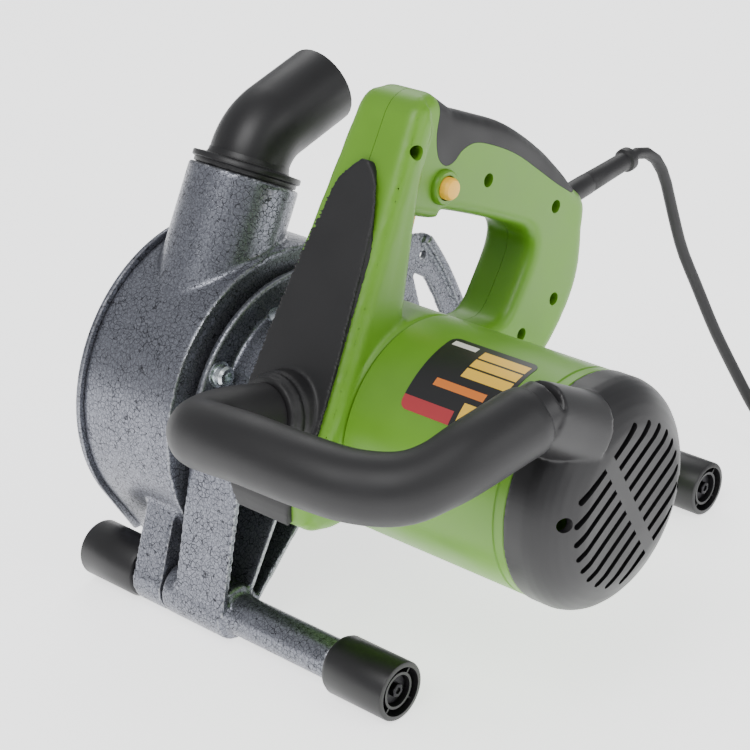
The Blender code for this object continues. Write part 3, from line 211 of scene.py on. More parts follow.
def crackle_paint():
    """Crackle paint on a light alloy casting: dark cracks between silver islands, with a painted highlight on
    convex edges.
    """
    if "crackle" in MADE:
        return MADE["crackle"]
    made, tree, shader, place = blank("crackle_paint_on_alloy", 0.36, 0.75)
    cell = bpy.context.scene.chaser_sizes.crack_cell
    tint = bpy.context.scene.chaser_colours.paint
    sway = node(tree, "TexNoise", values={"Scale": 0.7 / cell, "Detail": 3.0}, links={"Vector": place})
    bent = node(tree, "VectorMath", {"operation": "MULTIPLY_ADD"}, {1: (0.9 * cell,) * 3},
                {0: sway.outputs["Color"], 2: place})
    edge = node(tree, "TexVoronoi", {"feature": "DISTANCE_TO_EDGE"}, {"Scale": 1 / cell},
                {"Vector": bent.outputs[0]})
    width = ranged(tree, noise(tree, place, 0.28 / cell), 0.035, 0.085, 0.35, 0.65)
    crack = node(tree, "MapRange", values={"From Min": 0.0},
                 links={"Value": edge.outputs["Distance"], "From Max": width}).outputs[0]
    islands = ramp(tree, noise(tree, place, 2.6 / cell), [(0.30, "#5F6068"), (0.5, tint), (0.70, "#8C8E97")])
    coat = node(tree, "Mix", {"data_type": "RGBA"}, {6: linear("#1B1A1F")}, {0: crack, 7: islands})
    # Painted highlight: a light grey is mixed in on convex edges, found by pointiness, in place of the light those
    # edges catch.
    edge_highlight = ranged(tree, node(tree, "NewGeometry").outputs["Pointiness"], 0.0, 1.0, 0.53, 0.60)
    highlit_coat = node(tree, "Mix", {"data_type": "RGBA"}, {7: linear("#D2D3D6")}, {0: edge_highlight, 6: coat.outputs[2]})
    tree.links.new(highlit_coat.outputs[2], shader.inputs["Base Color"])
    tree.links.new(ranged(tree, crack, 0.60, 0.30, 0.0, 1.0), shader.inputs["Roughness"])
    relief(tree, shader, crack, 0.25, 0.0003)
    MADE["crackle"] = made
    return made


def moulded(key, name, colour, roughness, grain, strength=0.12):
    """Moulded plastic with a fine spark-eroded grain, which spreads the highlight a little unevenly."""
    if key in MADE:
        return MADE[key]
    made, tree, shader, place = blank(name, roughness)
    cloud = noise(tree, place, 28.0)
    shade = node(tree, "HueSaturation", values={"Color": linear(colour)})
    tree.links.new(ranged(tree, cloud, 0.94, 1.05), shade.inputs["Value"])
    tree.links.new(shade.outputs[0], shader.inputs["Base Color"])
    tree.links.new(ranged(tree, cloud, roughness - 0.05, roughness + 0.06), shader.inputs["Roughness"])
    relief(tree, shader, noise(tree, place, 1 / grain), strength, 0.0002)
    made.diffuse_color = linear(colour)
    MADE[key] = made
    return made


def shell_plastic():
    return moulded("shell", "glass_filled_nylon_green", bpy.context.scene.chaser_colours.shell, 0.38, 0.0006)


def trim_plastic():
    return moulded("trim", "glass_filled_nylon_black", bpy.context.scene.chaser_colours.trim, 0.42, 0.0006)


def grip_rubber():
    colour = bpy.context.scene.chaser_colours.grip
    return moulded("grip", "thermoplastic_elastomer_black", colour, 0.52, 0.0005, 0.2)


def button_plastic():
    return moulded("button", "acetal_yellow", bpy.context.scene.chaser_colours.button, 0.35, 0.0007, 0.06)


def cord_rubber():
    return moulded("cord", "chloroprene_cord_sheath", "#1B1A1C", 0.5, 0.0008, 0.1)


def metal(key, name, colour, roughness, grain=0.0009, stretch=1.0):
    """Machined or plated metal: fine marks that vary the gloss."""
    if key in MADE:
        return MADE[key]
    made, tree, shader, place = blank(name, roughness, 1.0, colour)
    scaled = node(tree, "Mapping", values={"Scale": (1.0, stretch, stretch)}, links={"Vector": place})
    marks = noise(tree, scaled.outputs[0], 1 / grain, 3.0)
    tree.links.new(ranged(tree, marks, roughness * 0.75, roughness * 1.3), shader.inputs["Roughness"])
    relief(tree, shader, marks, 0.08, 0.0001)
    MADE[key] = made
    return made


def ground_steel():
    return metal("steel", "ground_steel", "#B4B6BA", 0.3, 0.0006, 0.2)


def zinc_plate():
    return metal("zinc", "bright_zinc_plate", "#C8CED2", 0.28)


def black_oxide():
    return metal("oxide", "black_oxide_steel", "#2E2D30", 0.45)


def bare_iron():
    return metal("iron", "stamped_iron_laminations", "#6A6B6E", 0.45, 0.0008, 0.05)


def copper_wire():
    return metal("copper", "enamelled_copper_winding", "#A4602E", 0.35, 0.0007, 0.3)


def carbon_block():
    return moulded("carbon", "pressed_carbon_brush", "#232325", 0.65, 0.0004, 0.2)


def diamond_steel():
    """Sintered diamond and steel: dull metal with a coarse grit all over."""
    if "diamond" in MADE:
        return MADE["diamond"]
    made, tree, shader, place = blank("sintered_diamond_and_steel", 0.4, 0.8)
    grit = noise(tree, place, 1 / 0.0009, 4.0)
    tree.links.new(ramp(tree, grit, [(0.35, "#55565A"), (0.65, "#A9ABAE")]), shader.inputs["Base Color"])
    relief(tree, shader, grit, 0.4, 0.0003)
    MADE["diamond"] = made
    return made


def label_film():
    """Printed plate film without lettering, with its colours in the mesh."""
    if "label" in MADE:
        return MADE["label"]
    made, tree, shader, _ = blank("printed_label_film", 0.35)
    print_colour = node(tree, "VertexColor", {"layer_name": "print"})
    tree.links.new(print_colour.outputs["Color"], shader.inputs["Base Color"])
    MADE["label"] = made
    return made


# ---------------------------------------------------------------- modelling helpers
def select_only(*pieces):
    bpy.ops.object.select_all(action="DESELECT")
    for piece in pieces:
        piece.select_set(True)
    bpy.context.view_layer.objects.active = pieces[0]


def in_edit(piece, *steps):
    """Run edit-mode steps on all of a piece's mesh."""
    select_only(piece)
    bpy.ops.object.mode_set(mode="EDIT")
    bpy.ops.mesh.select_all(action="SELECT")
    for step in steps:
        step()
    bpy.ops.mesh.select_all(action="SELECT")
    bpy.ops.mesh.normals_make_consistent(inside=False)
    bpy.ops.object.mode_set(mode="OBJECT")
    return piece


def apply_place(piece):
    select_only(piece)
    bpy.ops.object.transform_apply(location=True, rotation=True, scale=True)
    return piece


def modify(piece, kind, **settings):
    """Add one modifier with its settings and apply it."""
    step = piece.modifiers.new("step", kind)
    for key, value in settings.items():
        setattr(step, key, value)
    select_only(piece)
    bpy.ops.object.modifier_apply(modifier=step.name)
    return piece


def combine(piece, operation, *tools):
    """Boolean each tool into the piece, by the exact solver where the quick one changes nothing."""
    for tool in tools:
        for solver in ("MANIFOLD", "EXACT"):
            before = piece.data.copy()
            modify(piece, "BOOLEAN", operation=operation, solver=solver, object=tool)
            if len(piece.data.polygons) and len(piece.data.vertices) != len(before.vertices):
                break
            piece.data = before
        bpy.data.objects.remove(tool, do_unlink=True)
    if not len(piece.data.polygons):
        raise RuntimeError("an empty shape came out of a cut")
    return piece


def cut(piece, *tools):
    return combine(piece, "DIFFERENCE", *tools)


def join(piece, *tools):
    return combine(piece, "UNION", *tools)


def common(piece, *tools):
    return combine(piece, "INTERSECT", *tools)


def fuse(voxel, rounds, *pieces):
    """Cast or moulded shapes grown into one, with soft inner corners and rounded edges."""
    select_only(*pieces)
    bpy.ops.object.join()
    return soften(bpy.context.object, voxel, rounds)


def refill(piece, x):
    """Close the flat parting face at x again with plain triangles, so that its openings stay open."""
    mesh = bmesh.new()
    mesh.from_mesh(piece.data)
    flat = [face for face in mesh.faces if all(abs(corner.co.x - x) < 2e-6 for corner in face.verts)]
    bmesh.ops.delete(mesh, geom=flat, context="FACES")
    rim = [edge for edge in mesh.edges if edge.is_boundary]
    bmesh.ops.triangle_fill(mesh, use_beauty=True, use_dissolve=False, edges=rim)
    bmesh.ops.recalc_face_normals(mesh, faces=mesh.faces)
    mesh.to_mesh(piece.data)
    mesh.free()
    return piece


def twin(piece):
    """A copy with its own mesh."""
    copy = piece.copy()
    copy.data = piece.data.copy()
    bpy.context.scene.collection.objects.link(copy)
    return copy


def arc(centre, radius, start, end, steps):
    """Points (y, z) on an arc seen from +X; angles in degrees from +Y towards +Z."""
    angles = [math.radians(start + (end - start) * i / steps) for i in range(steps + 1)]
    return [(centre[0] + radius * math.cos(a), centre[1] + radius * math.sin(a)) for a in angles]


def outline_solid(points, x0, x1):
    """A filled side outline with thickness from x0 to x1."""
    bpy.ops.object.select_all(action="DESELECT")
    bpy.ops.mesh.primitive_circle_add(vertices=len(points), radius=0.01, fill_type="NGON")
    piece = bpy.context.object
    for vertex, (y, z) in zip(piece.data.vertices, points):
        vertex.co = (x0, y, z)
    push = {"value": (x1 - x0, 0, 0)}
    return in_edit(piece, lambda: bpy.ops.mesh.extrude_region_move(TRANSFORM_OT_translate=push))


def bar(start, end, radius, sides=64, far=None):
    """A round bar or cone between two points."""
    start, end = Vector(start), Vector(end)
    bpy.ops.object.select_all(action="DESELECT")
    bpy.ops.mesh.primitive_cone_add(vertices=sides, radius1=radius, radius2=radius if far is None else far,
                                    depth=(end - start).length, location=(start + end) / 2,
                                    rotation=(end - start).to_track_quat("Z", "Y").to_euler())
    return apply_place(bpy.context.object)


def disc_bar(x0, x1, place, radius, sides=96, far=None):
    return bar((x0, *place), (x1, *place), radius, sides, far)


def block(low, high):
    low, high = Vector(low), Vector(high)
    bpy.ops.object.select_all(action="DESELECT")
    bpy.ops.mesh.primitive_cube_add(size=1.0, location=(low + high) / 2, scale=high - low)
    return apply_place(bpy.context.object)


def spun(profile, place, steps=96, closed=False):
    """A turned piece about an X axis: profile is (x, radius)."""
    bpy.ops.object.select_all(action="DESELECT")
    if not closed:
        start, end = profile[0], profile[-1]
        profile = [(start[0], 0.0)] * (start[1] > 0) + list(profile) + [(end[0], 0.0)] * (end[1] > 0)
    bpy.ops.mesh.primitive_circle_add(vertices=len(profile), radius=0.01, fill_type="NOTHING")
    piece = bpy.context.object
    for vertex, (x, radius) in zip(piece.data.vertices, profile):
        vertex.co = (x, radius, 0.0)
    in_edit(piece,
            lambda: bpy.ops.mesh.spin(steps=steps, angle=2 * math.pi, center=(0, 0, 0), axis=(1, 0, 0)),
            lambda: bpy.ops.mesh.select_all(action="SELECT"),
            lambda: bpy.ops.mesh.remove_doubles(threshold=0.00001))
    piece.location = (0, place[0], place[1])
    return apply_place(piece)


def spun_along(profile, start, direction, steps=64, closed=False):
    """A turned piece about any axis: profile is (distance from start, radius)."""
    piece = spun(profile, (0, 0), steps, closed)
    turn = Vector(direction).to_track_quat("X", "Z").to_matrix().to_4x4()
    piece.data.transform(Matrix.Translation(Vector(start)) @ turn)
    return piece


def tube(points, radius, name="tube", resolution=8, radii=None):
    """A round tube along points, with closed ends."""
    curve = bpy.data.curves.new(name, "CURVE")
    curve.dimensions = "3D"
    curve.bevel_depth = radius
    curve.bevel_resolution = resolution
    curve.use_fill_caps = True
    spline = curve.splines.new("POLY")
    spline.points.add(len(points) - 1)
    for i, (point, place) in enumerate(zip(spline.points, points)):
        point.co = (*place, 1.0)
        point.radius = radii[i] if radii else 1.0
    piece = bpy.data.objects.new(name, curve)
    bpy.context.scene.collection.objects.link(piece)
    return piece


def meshed(piece):
    select_only(piece)
    bpy.ops.object.convert(target="MESH")
    piece = bpy.context.object
    return in_edit(piece, lambda: bpy.ops.mesh.remove_doubles(threshold=0.00001))


def smooth_route(points, step):
    """Points about one step apart on a smooth curve through the given points."""
    points = [Vector(p) for p in points]
    padded = [2 * points[0] - points[1]] + points + [2 * points[-1] - points[-2]]
    fine = []
    for a, b, c, d in zip(padded, padded[1:], padded[2:], padded[3:]):
        for i in range(24):
            t = i / 24
            fine.append(0.5 * (2 * b + (c - a) * t + (2 * a - 5 * b + 4 * c - d) * t * t
                               + (3 * b - a - 3 * c + d) * t ** 3))
    fine.append(points[-1])
    length = sum((q - p).length for p, q in zip(fine, fine[1:]))
    count = max(2, round(length / step))
    route, travelled, wanted = [fine[0]], 0.0, length / count
    for p, q in zip(fine, fine[1:]):
        span = (q - p).length
        while travelled + span >= wanted - 1e-9 and len(route) < count:
            route.append(p.lerp(q, (wanted - travelled) / span))
            wanted += length / count
        travelled += span
    route.append(fine[-1])
    return route


def soften(piece, voxel, rounds):
    """Cast or moulded edges: remesh evenly, then relax the surface."""
    modify(piece, "REMESH", mode="VOXEL", voxel_size=voxel, adaptivity=0.0)
    modify(piece, "SMOOTH", factor=0.5, iterations=rounds)
    return piece


def edge_bevel(piece, width, segments=3, angle=35):
    modify(piece, "BEVEL", width=width, segments=segments, limit_method="ANGLE",
           angle_limit=math.radians(angle), use_clamp_overlap=True)
    return piece


def finish_piece(piece, name, finish, slot, body, *nodes, angle=None):
    """Name a piece, give it its material, and let it ride on its body in place of its CAD nodes."""
    apply_place(piece)
    piece.name = name
    piece.data.materials.clear()
    piece.data.materials.append(finish)
    select_only(piece)
    if angle is None:
        bpy.ops.object.shade_smooth()
    else:
        bpy.ops.object.shade_smooth_by_angle(angle=math.radians(angle))
    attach(piece, body)
    if nodes:
        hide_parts(*nodes)
    return piece


def swing(place, angle):
    """Where a place (y, z) goes when it turns about the plunge axis."""
    y, z = place[0] - PIVOT[0], place[1] - PIVOT[1]
    return (PIVOT[0] + y * math.cos(angle) - z * math.sin(angle),
            PIVOT[1] + y * math.sin(angle) + z * math.cos(angle))


# ---------------------------------------------------------------- guard
LOW = swing(SPINDLE, -PLUNGE)
LEAN = math.degrees(math.atan2(LOW[1] - SPINDLE[1], LOW[0] - SPINDLE[0]))


def guard_outline(radius, bottom, steps=72):
    """The guard's side outline round the discs, raised and plunged, cut off below."""
    drop = math.degrees(math.asin((bottom - LOW[1]) / radius))
    front = arc(SPINDLE, radius, LEAN + 270, LEAN + 90, steps)
    share = (bottom - front[0][1]) / (LOW[1] - SPINDLE[1])
    foot = (front[0][0] + share * (LOW[0] - SPINDLE[0]), bottom)
    return [foot] + front + arc(LOW, radius, LEAN + 90, drop, steps // 3)


def on_nozzle(distance):
    return MOUTH + distance * NOZZLE_AXIS


def build_guard():
    shape = outline_solid(guard_outline(GUARD_R, 0.020), GUARD_X0, GUARD_X1)
    x0, x1 = COVER_X0 + 0.0475, COVER_X0 + 0.072
    wall = SPINDLE[0] - GUARD_R
    lug = arc(PIVOT, ROLLER_R - 0.001, 150, 285, 24) + [
        (wall + 0.048, 0.023), (wall + 0.05, SPINDLE[1] - 0.035), (wall + 0.010, SPINDLE[1] - 0.035)]
    nozzle = bar(on_nozzle(-NOZZLE_LENGTH), on_nozzle(0), NOZZLE_R, 96)
    shape = fuse(0.0016, 5, shape, outline_solid(lug, x0, x1), nozzle)
    shape = cut(shape, outline_solid(guard_outline(0.0965, 0.016), GUARD_X0 - 0.01, GUARD_X1 - 0.0035))
    shape = cut(shape, outline_solid(guard_outline(0.0795, 0.016), GUARD_X0, GUARD_X1 + 0.01))
    shape = cut(shape, bar(on_nozzle(-0.1027), on_nozzle(0.01), NOZZLE_R - 0.003, 96))
    shape = cut(shape, disc_bar(COVER_X0, GUARD_X1, PIVOT, AXLE_HOLE, 32))
    finish_piece(shape, "guard_casting", crackle_paint(), "crackle_paint", "frame", "guard_drum", angle=40)

    cover = outline_solid(guard_outline(GUARD_R + 0.003, 0.020), COVER_X0, COVER_X1)
    edge_bevel(cover, 0.0012)
    cut(cover, outline_solid(guard_outline(GUARD_R - 0.010, 0.030), COVER_X0 - 0.001, COVER_X0 + 0.0012))
    finish_piece(cover, "guard_side_cover", crackle_paint(), "crackle_paint", "frame", "guard_cover",
                 angle=30)


def screw_head(place, direction, radius, height, body="frame", nodes=(), name="screw", finish=zinc_plate):
    """A domed screw head with a cross recess, its underside at place."""
    profile = [(0.0, 0.0), (0.0, radius), (height * 0.35, radius), (height * 0.75, radius * 0.86),
               (height, radius * 0.5), (height, 0.0)]
    head = spun_along(profile, place, direction, 32)
    up = Vector(direction).normalized()
    side = up.orthogonal().normalized()
    top = Vector(place) + up * height
    half = Vector((radius * 0.55, radius * 0.13, height * 0.6))
    for way in (side, up.cross(side)):
        tool = block(-half, half)
        turn = Matrix((way, up.cross(way), up)).transposed()
        tool.data.transform(Matrix.Translation(top) @ turn.to_4x4())
        cut(head, tool)
    return finish_piece(head, name, finish(), "zinc_plate", body, *nodes, angle=30)


# ---------------------------------------------------------------- rear frame
def build_rear_frame():
    radius = REAR[0] - PIVOT[0] - 0.029
    rim = arc(PIVOT, radius, 36.5, 3.0, 40)
    boss = arc(REAR, ROLLER_R - 0.003, 60, -120, 24)
    foot = arc(LOW, GUARD_R - 0.012, LEAN + 90, -12, 16)
    shoulder = arc(SPINDLE, GUARD_R - 0.012, 68, LEAN + 90, 12)
    outline = rim[:34] + boss + foot[::-1] + shoulder[::-1] + [(SPINDLE[0] + 0.046, SPINDLE[1] + 0.092)]
    shape = outline_solid(outline, FRAME_X0, FRAME_X1)
    rear_edge = arc(PIVOT, radius - 0.018, 31, 11, 20)
    guard_side = arc(LOW, GUARD_R + 0.008, -4, 22, 12)
    top = arc(PIVOT, radius - 0.0245, 34.2, 34.2, 1)[0]
    raised = arc(PIVOT, radius + 0.0007, 36.2, 6.3, 40) + arc(PIVOT, radius - 0.0055, 6.3, 36.2, 40)
    shape = cut(shape, outline_solid([top] + rear_edge + guard_side, FRAME_X0 - 0.01, FRAME_X1 + 0.01))
    shape = fuse(0.0012, 3, shape, outline_solid(raised, FRAME_X0 + 0.001, FRAME_X1 + 0.004),
                 disc_bar(COVER_X0 + 0.0475, TUBE_X1, REAR, ROLLER_R - 0.0055, 64))
    hole = arc(PIVOT, radius - 0.0115, 34.6, 34.6, 1)[0]
    shape = cut(shape, disc_bar(FRAME_X0 - 0.01, FRAME_X1 + 0.02, hole, 0.0032, 24))
    shape = cut(shape, disc_bar(COVER_X0, 0.2, REAR, AXLE_HOLE, 32))
    finish_piece(shape, "depth_quadrant_frame", crackle_paint(), "crackle_paint", "frame", "rear_frame",
                 angle=40)


# ---------------------------------------------------------------- rollers
def build_roller(name, end, inward, place):
    """A moulded roller: rings and four thin spokes in its outer recess, an open recess inside."""
    r = ROLLER_R
    length = 0.046
    wall = r - 0.0032
    steps = [(0.0, wall), (0.0, r - 0.0012), (0.0004, r - 0.0004), (0.0012, r), (length - 0.0035, r),
             (length - 0.001, r - 0.0012), (length, r - 0.0034), (length, wall), (0.016, wall),
             (0.016, 0.0099), (length - 0.004, 0.0099), (length - 0.004, 0.0064), (0.0075, 0.0064), (0.0075, wall)]
    shape = spun([(end + inward * s, radius) for s, radius in steps], place, 72, closed=True)
    ring_steps = [(0.0018, 0.0096), (0.0018, 0.0112), (0.0080, 0.0112), (0.0080, 0.0096)]
    collar = spun([(end + inward * s, radius) for s, radius in ring_steps], place, 48, closed=True)
    spokes = []
    for k in range(4):
        a = math.radians(45 + 90 * k)
        x0, x1 = sorted((end + inward * 0.0022, end + inward * 0.0078))
        spoke = block((x0, 0.0104, -0.0006), (x1, wall + 0.0006, 0.0006))
        spoke.data.transform(Matrix.Translation((0, place[0], place[1])) @ Matrix.Rotation(a, 4, "X"))
        spokes.append(spoke)
    shape = join(shape, collar, *spokes)
    body = name.replace("roller_", "") + "_roller"
    finish_piece(shape, name + "_moulding", trim_plastic(), "black_plastic", body, name, angle=35)


def build_rollers():
    left = COVER_X0
    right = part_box("roller_front_right")[1][0]
    for place, row in ((PIVOT, "front"), (REAR, "rear")):
        build_roller("roller_%s_right" % row, right, -1, place)
        build_roller("roller_%s_left" % row, left, 1, place)
        for side, end, way in (("right", right, -1), ("left", left, 1)):
            node_name = "roller_screw_%s_%s" % (row, side)
            washer = [(0.0050, 0.0), (0.0050, 0.0085), (0.0062, 0.0085), (0.0062, 0.0)]
            shape = spun([(end + way * s, radius) for s, radius in washer], place, 40)
            head = disc_bar(*sorted((end + way * 0.0020, end + way * 0.0052)), place, 0.0044, 6)
            edge_bevel(head, 0.0004, 2)
            shape = join(shape, head)
            shape = cut(shape, disc_bar(*sorted((end + way * 0.0018, end + way * 0.0030)), place, 0.0022, 6))
            finish_piece(shape, "axle_end_" + row + "_" + side, black_oxide(), "zinc_plate", "frame",
                         node_name, angle=30)


# ---------------------------------------------------------------- elbow
def build_elbow():
    out = math.radians(15.5)
    first = on_nozzle(ELBOW_CORNER - 0.0152)
    start_angle, end_angle = math.radians(152), out + math.radians(90)
    centre = first - ELBOW_BEND * Vector((0, math.cos(start_angle), math.sin(start_angle)))
    corner = on_nozzle(ELBOW_CORNER)
    end = corner + 0.0595 * Vector((0, math.cos(out), math.sin(out)))
    route = [on_nozzle(-0.012), on_nozzle(0.002)]
    for i in range(17):
        a = start_angle + (end_angle - start_angle) * i / 16
        route.append(centre + ELBOW_BEND * Vector((0, math.cos(a), math.sin(a))))
    route.append(end)
    shape = meshed(tube(route, ELBOW_R, resolution=14))
    flange = [(-0.012, 0.0), (-0.012, 0.0308), (0.0003, 0.0308), (0.0003, 0.0318), (0.0008, 0.0322),
              (0.0030, 0.0322), (0.0034, 0.0334), (0.0040, 0.0340), (0.0064, 0.0340), (0.0072, 0.0334),
              (0.0074, 0.0300),
              (0.0078, 0.0262), (0.0090, 0.0256), (0.0115, 0.0252), (0.0120, 0.0)]
    shape = join(shape, spun_along(flange, MOUTH, NOZZLE_AXIS, 72))
    tail = (end - route[-2]).normalized()
    bore = [on_nozzle(-0.02)] + route[1:-1] + [end + 0.01 * tail]
    shape = cut(shape, meshed(tube(bore, ELBOW_R - ELBOW_WALL, resolution=14)))
    finish_piece(shape, "dust_elbow_moulding", trim_plastic(), "black_rubber", "elbow", "dust_elbow",
                 angle=40)


# ---------------------------------------------------------------- plunging arm
def lock_point(distance):
    angle = math.radians(108)
    reach = CASE_R + distance
    return Vector((ARM_X1 + 0.012, CASE[0] + reach * math.cos(angle), CASE[1] + reach * math.sin(angle)))


def rib(a, b, width, x0, x1):
    run = Vector((b[0] - a[0], b[1] - a[1])).normalized() * width / 2
    side = (-run.y, run.x)
    return outline_solid([(a[0] + side[0], a[1] + side[1]), (a[0] - side[0], a[1] - side[1]),
                          (b[0] - side[0], b[1] - side[1]), (b[0] + side[0], b[1] + side[1])], x0, x1)


def build_arm():
    y0, z0 = PIVOT
    lean = math.radians(75)
    top = (y0 - ROLLER_R + 0.112 * math.cos(lean), z0 + 0.112 * math.sin(lean))
    half = math.degrees(math.acos(0.048 / (DISC_R - 0.002)))
    low_side = math.degrees(math.atan2(-0.87, 0.49))
    shield = arc(SPINDLE, DISC_R - 0.002, low_side + half, low_side + 360 - half, 72)
    web = [(y0 - 0.015, z0 + 0.008), top, (SPINDLE[0] - 0.02, SPINDLE[1]), (y0 + 0.062, z0 + 0.052),
           (y0 + 0.015, z0 - 0.010)]
    left, right = ARM_X0 + 0.0005, STRIP_X1 - 0.0005
    boss_x0 = COVER_X0 + 0.0735
    shape = fuse(
        0.0014, 3,
        outline_solid(shield, ARM_X0, ARM_X1),
        outline_solid(web, ARM_X0 + 0.0002, ARM_X1 - 0.0002),
        disc_bar(ARM_X0 + 0.0016, STRIP_X1, CASE, CASE_R, 128),
        rib((y0 - 0.014, z0 + 0.004), top, 0.004, left, right),
        rib((y0 + 0.004, z0), (CASE[0] - 0.040, CASE[1] - 0.036), 0.003, left + 0.0004, right - 0.0007),
        rib((y0 + 0.014, z0), (CASE[0] - 0.014, CASE[1] - 0.050), 0.003, left + 0.0008, right - 0.0012),
        disc_bar(boss_x0, STRIP_X1 - 0.0025, PIVOT, ROLLER_R - 0.001, 64),
        disc_bar(STRIP_X1 - 0.004, TUBE_X1, PIVOT, ROLLER_R - 0.0055, 64),
        disc_bar(GUARD_X1 - 0.0135, ARM_X0 + 0.0027, SPINDLE, 0.021, 48))
    shape = cut(shape, disc_bar(ARM_X1 + 0.001, STRIP_X1 + 0.01, CASE, CASE_R - 0.005, 96))
    shape = cut(shape, disc_bar(GUARD_X1 - 0.0095, ARM_X1 + 0.01, SPINDLE, 0.0165, 48))
    shape = cut(shape, disc_bar(GUARD_X1 - 0.03, ARM_X0, SPINDLE, 0.0088, 32))
    shape = cut(shape, disc_bar(boss_x0 - 0.01, 0.2, PIVOT, 0.0064, 32))
    shape = cut(shape, bar(lock_point(-0.03), lock_point(0.02), 0.0046, 32))
    finish_piece(shape, "plunge_arm_casting", crackle_paint(), "crackle_paint", "plunge_unit", "arm_casting",
                 angle=40)

    bolt = arc(SPINDLE, 0.079, 145, 145, 1)[0]
    washer = [(0.0, 0.0), (0.0, 0.0080), (0.0012, 0.0080), (0.0015, 0.0064), (0.0060, 0.0064),
              (0.0078, 0.0052), (0.0085, 0.0)]
    head = spun_along(washer, (ARM_X1 + GAP, *bolt), (1, 0, 0), 40)
    cut(head, disc_bar(ARM_X1 + 0.0050, ARM_X1 + 0.02, bolt, 0.0032, 6))
    finish_piece(head, "arm_bolt_head", zinc_plate(), "zinc_plate", "plunge_unit", "arm_bolt", angle=30)
    pin = [(-0.018, 0.0), (-0.018, 0.0042), (0.0058, 0.0042), (0.0062, 0.0058), (0.0075, 0.0058),
           (0.0088, 0.0048), (0.0092, 0.0030), (0.0092, 0.0)]
    button = spun_along(pin, lock_point(0), (lock_point(1) - lock_point(0)), 40)
    finish_piece(button, "spindle_lock_plunger", zinc_plate(), "zinc_plate", "spindle_lock",
                 "spindle_lock_button", angle=30)


# ---------------------------------------------------------------- discs and clamp
def build_discs():
    stack = [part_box("diamond_disc_%d" % number) for number in range(1, 6)]
    teeth = []
    for k in range(20):
        a0 = 18.0 * k
        teeth += arc(SPINDLE, DISC_R, a0, a0 + 15.6, 8) + arc(SPINDLE, 0.0815, a0 + 16.4, a0 + 17.4, 1)
    x0, x1 = stack[0][0][0], stack[0][1][0]
    pattern = outline_solid(teeth, x0, x1)
    cut(pattern, disc_bar(x0 - 0.01, x1 + 0.01, SPINDLE, 0.0084, 48))
    for number, box in enumerate(stack, 1):
        disc = twin(pattern)
        disc.data.transform(Matrix.Translation((box[0][0] - x0, 0, 0)))
        finish_piece(disc, "segmented_disc_%d" % number, diamond_steel(), "diamond_segment", "spindle_unit",
                     "diamond_disc_%d" % number, angle=30)
    bpy.data.objects.remove(pattern, do_unlink=True)


# ---------------------------------------------------------------- motor
def build_motor():
    wall = MOTOR_R - 0.003
    profile = [(BARREL_X0, wall), (BARREL_X0, MOTOR_R - 0.0007), (BARREL_X0 + 0.0007, MOTOR_R),
               (BARREL_X1 - 0.0075, MOTOR_R), (BARREL_X1 - 0.0070, MOTOR_R - 0.0008),
               (BARREL_X1 - 0.0058, MOTOR_R - 0.0008), (BARREL_X1 - 0.0053, MOTOR_R),
               (BARREL_X1 - 0.0006, MOTOR_R), (BARREL_X1, MOTOR_R - 0.0006), (BARREL_X1, wall)]
    shape = spun(profile, MOTOR, 160, closed=True)
    finish_piece(shape, "motor_barrel", shell_plastic(), "green_shell", "plunge_unit", "motor_housing",
                 angle=30)


LABEL_X = (0.056, 0.116)
LABEL_TURN = (92.5, 141.0)
PLATE_BLOCKS = (((0.06, 0.87, 0.34, 0.94), "#D9D6CE"), ((0.42, 0.80, 0.95, 0.92), "#EDBE3E"),
                ((0.42, 0.66, 0.95, 0.78), "#EDBE3E"), ((0.42, 0.52, 0.95, 0.64), "#EDBE3E"),
                ((0.22, 0.33, 0.80, 0.42), "#D9782C"), ((0.64, 0.05, 0.95, 0.26), "#EDBE3E"),
                ((0.00, 0.00, 0.58, 0.15), "#A83238"))


def label_colour(u, v):
    """Plain blocks of colour on the plate: no lettering."""
    for (a, b, c, d), code in PLATE_BLOCKS:
        if a <= u <= c and b <= v <= d:
            return linear(code)
    return linear("#19181A")


def build_label():
    across, around = 124, 122
    bpy.ops.object.select_all(action="DESELECT")
    bpy.ops.mesh.primitive_grid_add(x_subdivisions=across, y_subdivisions=around, size=1.0)
    plate = bpy.context.object
    tint = plate.data.color_attributes.new("print", "FLOAT_COLOR", "CORNER")
    for face in plate.data.polygons:
        colour = label_colour(face.center.x + 0.5, face.center.y + 0.5)
        for loop in face.loop_indices:
            tint.data[loop].color = colour
    width = LABEL_X[1] - LABEL_X[0]
    height = math.radians(LABEL_TURN[1] - LABEL_TURN[0]) * MOTOR_R
    corner = 0.005
    for vertex in plate.data.vertices:
        u, v = vertex.co.x * width, vertex.co.y * height
        over = Vector((max(0.0, abs(u) - width / 2 + corner), max(0.0, abs(v) - height / 2 + corner)))
        if over.length > corner:
            over *= corner / over.length
            u = math.copysign(width / 2 - corner + over.x, u)
            v = math.copysign(height / 2 - corner + over.y, v)
        angle = math.radians((LABEL_TURN[0] + LABEL_TURN[1]) / 2) - v / MOTOR_R
        x = (LABEL_X[0] + LABEL_X[1]) / 2 + u
        radius = MOTOR_R + 0.00005
        vertex.co = (x, MOTOR[0] + radius * math.cos(angle), MOTOR[1] + radius * math.sin(angle))
    in_edit(plate)
    modify(plate, "SOLIDIFY", thickness=0.0002, offset=1.0)
    finish_piece(plate, "rating_plate_film", label_film(), "black_plastic", "plunge_unit", angle=30)


